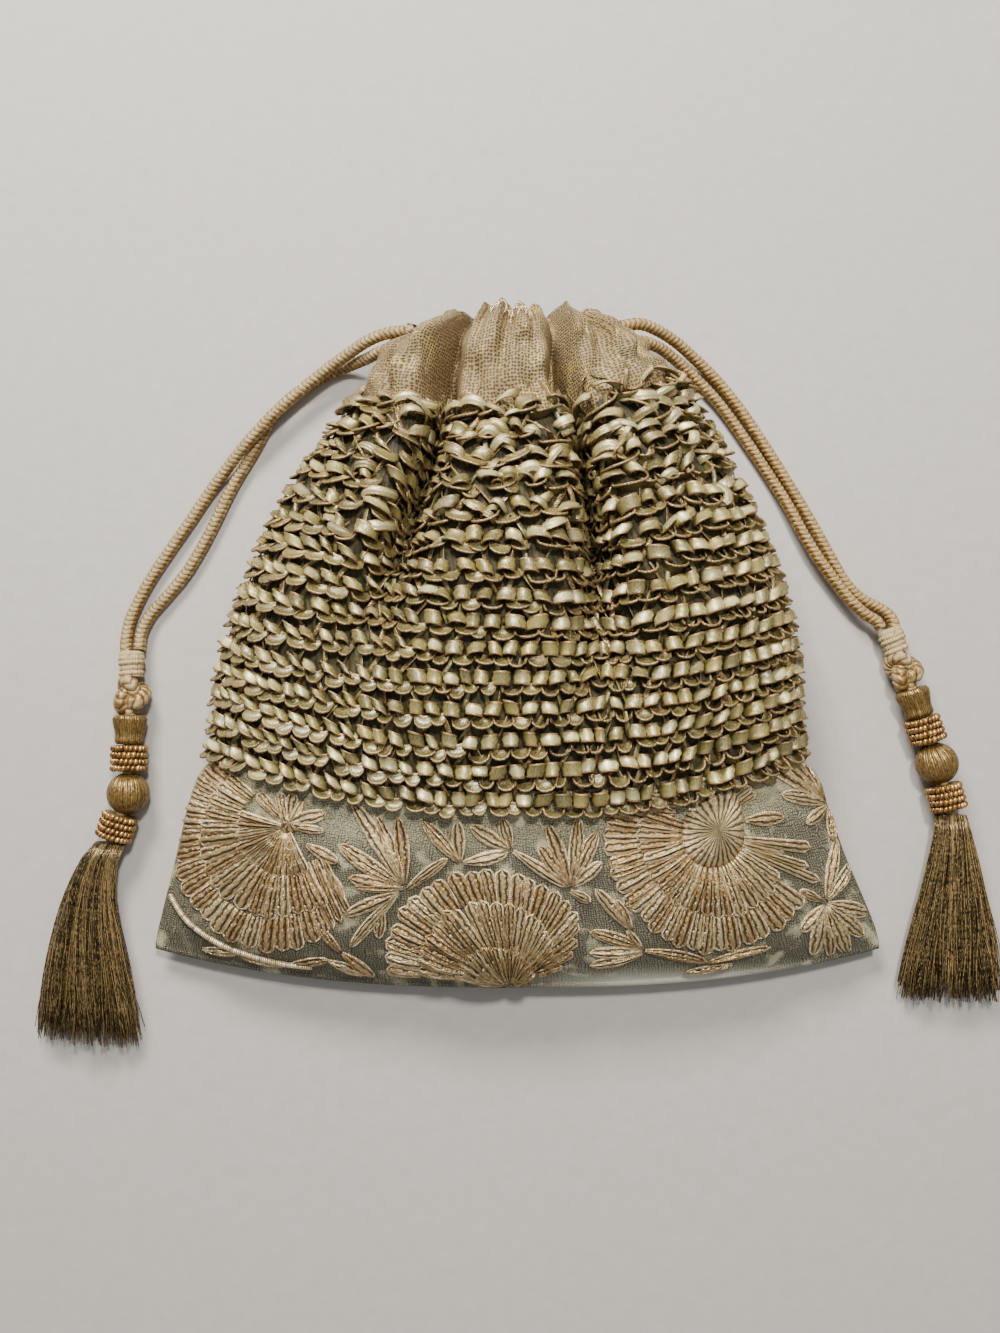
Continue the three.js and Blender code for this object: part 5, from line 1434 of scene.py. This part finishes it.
def knot_piece(side, place):
    """The cord tied on itself: one line that passes over and under three times."""
    (x, y), heading, height = place
    turn = np.linspace(0, 2 * np.pi, 170, endpoint=False)
    along = np.sin(turn) + 2 * np.sin(2 * turn)
    across = np.cos(turn) - 2 * np.cos(2 * turn)
    deep = -np.sin(3 * turn)
    along = (along / 2.6 * 0.5 + 0.5) * (KNOT_LENGTH - 2.6) + 1.3
    across = across / 3.0 * (KNOT_WIDTH / 2 - 1.9)
    way, over = toward(heading), toward(heading - 90)
    path = np.zeros((len(turn), 3))
    path[:, :2] = np.array([x, y]) + along[:, None] * way + across[:, None] * over
    path[:, 2] = height + deep * 1.9
    steps = np.linalg.norm(np.diff(np.vstack([path, path[:1]]), axis=0), axis=1)
    run = np.concatenate([[0], np.cumsum(steps)])
    surface, around = plaited(path, run[:-1], 2.35)
    cord = loft(surface[None], run[None, :-1], around, (0.6, 0.5), ring=True)
    core = smooth_profile([(0.2, 1.4), (3, 2.6), (KNOT_LENGTH - 2.5, 2.6), (KNOT_LENGTH + 0.3, 2.2)], 16)
    heart = turned_piece(place, core, 20, None, (0.3, 0.4), 1)
    return make(f"cord_knot_{side}_tied", [cord, heart], [plait_tan, bronze_thread],
                [f"cord_knot_{side}"])


def cap_piece(side, place):
    half = CAP_WIDTH / 2
    profile = smooth_profile([(0, 0.5 * half), (0.1, 0.86 * half), (0.14 * CAP_LENGTH, half),
                              (0.34 * CAP_LENGTH, 0.95 * half), (0.66 * CAP_LENGTH, 0.8 * half),
                              (0.9 * CAP_LENGTH, 0.84 * half), (CAP_LENGTH, 0.7 * half)], 40)
    folds = lambda turn, run: 0.2 * np.abs(np.sin(16 * turn + 0.15 * run)) - 0.1
    part = turned_piece(place, profile, 112, folds, (0.4, 0.5))
    return make(f"tassel_cap_{side}_thread", [part], [bronze_thread], [f"tassel_cap_{side}"])


def ball_piece(side, place):
    turn = np.linspace(0.06, math.pi - 0.06, 30)
    radius = BALL_DIAMETER / 2
    profile = np.stack([radius - radius * np.cos(turn), radius * np.sin(turn)], 1)
    strands = lambda around, run: 0.2 * np.abs(np.sin(17 * around + 0.08 * run)) - 0.2
    part = turned_piece(place, profile, 136, strands, (0.5, 0.5))
    return make(f"tassel_ball_{side}_thread", [part], [bronze_thread], [f"tassel_ball_{side}"])


BEADS_ROUND = 22


def collar_piece(name, place, draw):
    """Rows of small beads round a thread core, each bead slanted and a little out of line."""
    (x, y), heading, height = place
    way, over = toward(heading), toward(heading - 90)
    row = COLLAR_LENGTH / BEAD_ROWS
    half = COLLAR_WIDTH / 2
    number = np.arange(BEAD_ROWS * BEADS_ROUND)
    ring, around = number // BEADS_ROUND, number % BEADS_ROUND
    turn = 2 * np.pi * (around + 0.5 * (ring % 2) + draw.uniform(-0.1, 0.1, len(number))) / BEADS_ROUND
    along = (ring + 0.5) * row + draw.uniform(-0.08, 0.08, len(number))
    out = np.stack([over[0] * np.cos(turn), over[1] * np.cos(turn), np.sin(turn)], 1)
    axis = np.broadcast_to(np.array([way[0], way[1], 0.0]), out.shape)
    round_way = np.cross(axis, out)
    centre = np.stack([x + along * way[0], y + along * way[1], height + 0 * along], 1) + out * (half - 0.95)
    long_way = unit(axis + 0.5 * round_way)
    short_way = np.cross(long_way, out)
    lat = np.linspace(0.35, math.pi - 0.35, 6)
    sides = 8
    lon = 2 * np.pi * np.arange(sides) / sides
    size = draw.uniform(0.94, 1.05, (len(number), 1, 1))
    sections = centre[:, None, None] + size[..., None] * (
        long_way[:, None, None] * (-1.02 * np.cos(lat))[None, :, None, None]
        + short_way[:, None, None] * (0.74 * np.sin(lat)[:, None] * np.cos(lon))[None, ..., None]
        + out[:, None, None] * (0.9 * np.sin(lat)[:, None] * np.sin(lon))[None, ..., None])
    hue = np.stack([draw.uniform(0, 1, len(number)), draw.uniform(0, 1, len(number))], 1)
    beads = loft(sections, np.linspace(0, 2, 6), np.arange(sides + 1) / sides * 4, hue)
    core = turned_piece(place, [(0, half - 1.9), (0.2, half - 1.4), (COLLAR_LENGTH - 0.2, half - 1.4),
                                (COLLAR_LENGTH, half - 1.9)], 32, None, (0.2, 0.5), 1)
    return make(name + "_beads", [beads, core], [copper_bead, bronze_thread], [name])


SKIRT_THREADS = 1100


def skirt_piece(side, place, draw):
    """Fringe threads that leave a tight neck, spread, and lie on the surface at the hem."""
    (x, y), heading, height = place
    facts = TASSELS[side]
    length = facts["length"]
    way, over = toward(heading), toward(heading - 90)
    count = SKIRT_THREADS
    turn = draw.uniform(0, 2 * np.pi, count)
    deep = np.sqrt(draw.uniform(0.12, 1, count))
    steps = 11
    t = np.linspace(0, 1, steps)
    reach = np.minimum(draw.normal(0.95, 0.05, count), 1.03)
    stray = draw.uniform(0, 1, count) > 0.965
    lock = np.floor(turn / (2 * np.pi) * 17)
    pull = 0.22 * np.sin(lock * 2.4)
    spread_out = 0.75 * t + 0.25 * smoothstep(t, 0, 0.9)
    wide = (SKIRT_NECK + (SKIRT_HEM_WIDTH * 0.98 - SKIRT_NECK) * spread_out) / 2
    tall = (SKIRT_NECK + (SKIRT_HEM_HEIGHT - SKIRT_NECK) * spread_out) / 2 - 0.15
    drift = pull + draw.normal(0, 0.05, count) + stray * draw.normal(0, 0.5, count)
    ease = turn[:, None] + drift[:, None] * t
    curl = draw.normal(0, 0.5, (count, 1)) * np.sin(t * draw.uniform(4, 16, (count, 1)) + turn[:, None])
    extra = 1 + stray[:, None] * 0.14 * t
    across = deep[:, None] * np.cos(ease) * wide * extra + curl * t
    level = deep[:, None] * np.sin(ease) * tall
    sweep = {"left": 4.0, "right": -0.8}[side] * np.sin(np.pi * t**0.65)
    along = length * (t * reach[:, None]) + 0 * across
    across = across + sweep
    drop = (height - SKIRT_HEM_HEIGHT / 2) * t
    path = np.zeros((count, steps, 3))
    path[..., 0] = x + along * way[0] + across * over[0]
    path[..., 1] = y + along * way[1] + across * over[1]
    path[..., 2] = np.maximum(height + level - drop, 0.22)
    hue = np.stack([draw.uniform(0, 1, count) ** 2.4, draw.uniform(0, 1, count)], 1)
    hue[stray, 0] = 1
    thick = 0.2 * (1 - 0.35 * t)[None] * np.where(stray, 0.7, 1.0)[:, None]
    threads = tube(path, thick, 3, tint=hue)
    inside = [(0, 0.7)] + [(length * s, 0.8) for s in (0.1, 0.3, 0.5, 0.7, 0.86)]
    run = np.array([s for s, _ in inside])
    shares = np.interp(run / length, t, spread_out)
    swing = np.interp(run / length, t, sweep)
    around = 2 * np.pi * np.arange(24) / 24
    half_wide = 0.72 * (SKIRT_NECK + (SKIRT_HEM_WIDTH - SKIRT_NECK) * shares) / 2
    half_tall = 0.7 * (SKIRT_NECK + (SKIRT_HEM_HEIGHT - SKIRT_NECK) * shares) / 2
    core = np.zeros((len(run), 24, 3))
    aside = half_wide[:, None] * np.cos(around) + swing[:, None]
    core[..., 0] = x + run[:, None] * way[0] + aside * over[0]
    core[..., 1] = y + run[:, None] * way[1] + aside * over[1]
    middle = height - (height - SKIRT_HEM_HEIGHT / 2) * run[:, None] / length
    core[..., 2] = middle + half_tall[:, None] * np.sin(around)
    core = loft(core[None], run[None], np.arange(25) * 1.6, (0.0, 0.0), 1)
    return make(f"tassel_skirt_{side}_fringe", [threads, core], [skirt_thread, bronze_thread],
                [f"tassel_skirt_{side}"])


draw = np.random.default_rng(SEED + 3)
for side, places in CHAINS.items():
    wrap_piece(side, places["wrap"])
    knot_piece(side, places["knot"])
    cap_piece(side, places["cap"])
    collar_piece(f"upper_collar_{side}", places["upper_collar"], draw)
    ball_piece(side, places["ball"])
    collar_piece(f"lower_collar_{side}", places["lower_collar"], draw)
    skirt_piece(side, places["skirt"], draw)

for name, (piece, path, run) in strand_pieces.items():
    side = "left" if "left" in name else "right"


# The studio: a pale floor and soft light


def soft_light(name, place, aim, size, watts, colour=(1.0, 1.0, 1.0)):
    lamp = bpy.data.lights.new(name, "AREA")
    lamp.shape = "RECTANGLE"
    lamp.size, lamp.size_y = size
    lamp.energy = watts
    lamp.color = colour
    holder = bpy.data.objects.new(name, lamp)
    holder.location = place
    way = np.array(aim, float) - np.array(place, float)
    holder.rotation_euler = Vector(way).to_track_quat("-Z", "Y").to_euler()
    bpy.context.scene.collection.objects.link(holder)


floor_mesh = bpy.data.meshes.new("floor")
FLOOR_HALF = 1.6
corners = [(x * FLOOR_HALF, y * FLOOR_HALF, 0) for x, y in ((-1, -1), (1, -1), (1, 1), (-1, 1))]
floor_mesh.from_pydata(corners, [], [(0, 1, 2, 3)])
floor = bpy.data.objects.new("floor", floor_mesh)
bpy.context.scene.collection.objects.link(floor)
floor_paint = bpy.data.materials.new("floor_paint")
floor_paint.use_nodes = True
tree = floor_paint.node_tree
speck = use(tree, PATCHES, Size=0.004, Cover=0.5, Edge=0.4)
tree.links.new(blend(tree, speck["Mask"], tone("#a7a19a"), tone("#b1aca5")),
               tree.nodes["Principled BSDF"].inputs["Base Color"])
tree.nodes["Principled BSDF"].inputs["Roughness"].default_value = 0.9
floor_mesh.materials.append(floor_paint)

soft_light("window_light", (-0.22, 0.62, 0.5), (0, 0, 0.01), (0.3, 0.2), 13.5, (1.0, 0.985, 0.96))
soft_light("glint_light", (0.1, 0.35, 0.8), (0, -0.05, 0), (0.1, 0.1), 8.0, (1.0, 0.985, 0.95))
soft_light("fill_light", (0.3, -0.45, 0.75), (0, 0, 0), (0.9, 0.9), 1.0, (0.97, 0.98, 1.0))
soft_light("overhead_light", (0, 0.05, 0.95), (0, 0, 0), (0.6, 0.6), 1.0)
world = bpy.data.worlds.new("studio_air")
world.use_nodes = True
world.node_tree.nodes["Background"].inputs["Color"].default_value = (0.78, 0.8, 0.83, 1)
world.node_tree.nodes["Background"].inputs["Strength"].default_value = 0.3
bpy.context.scene.world = world
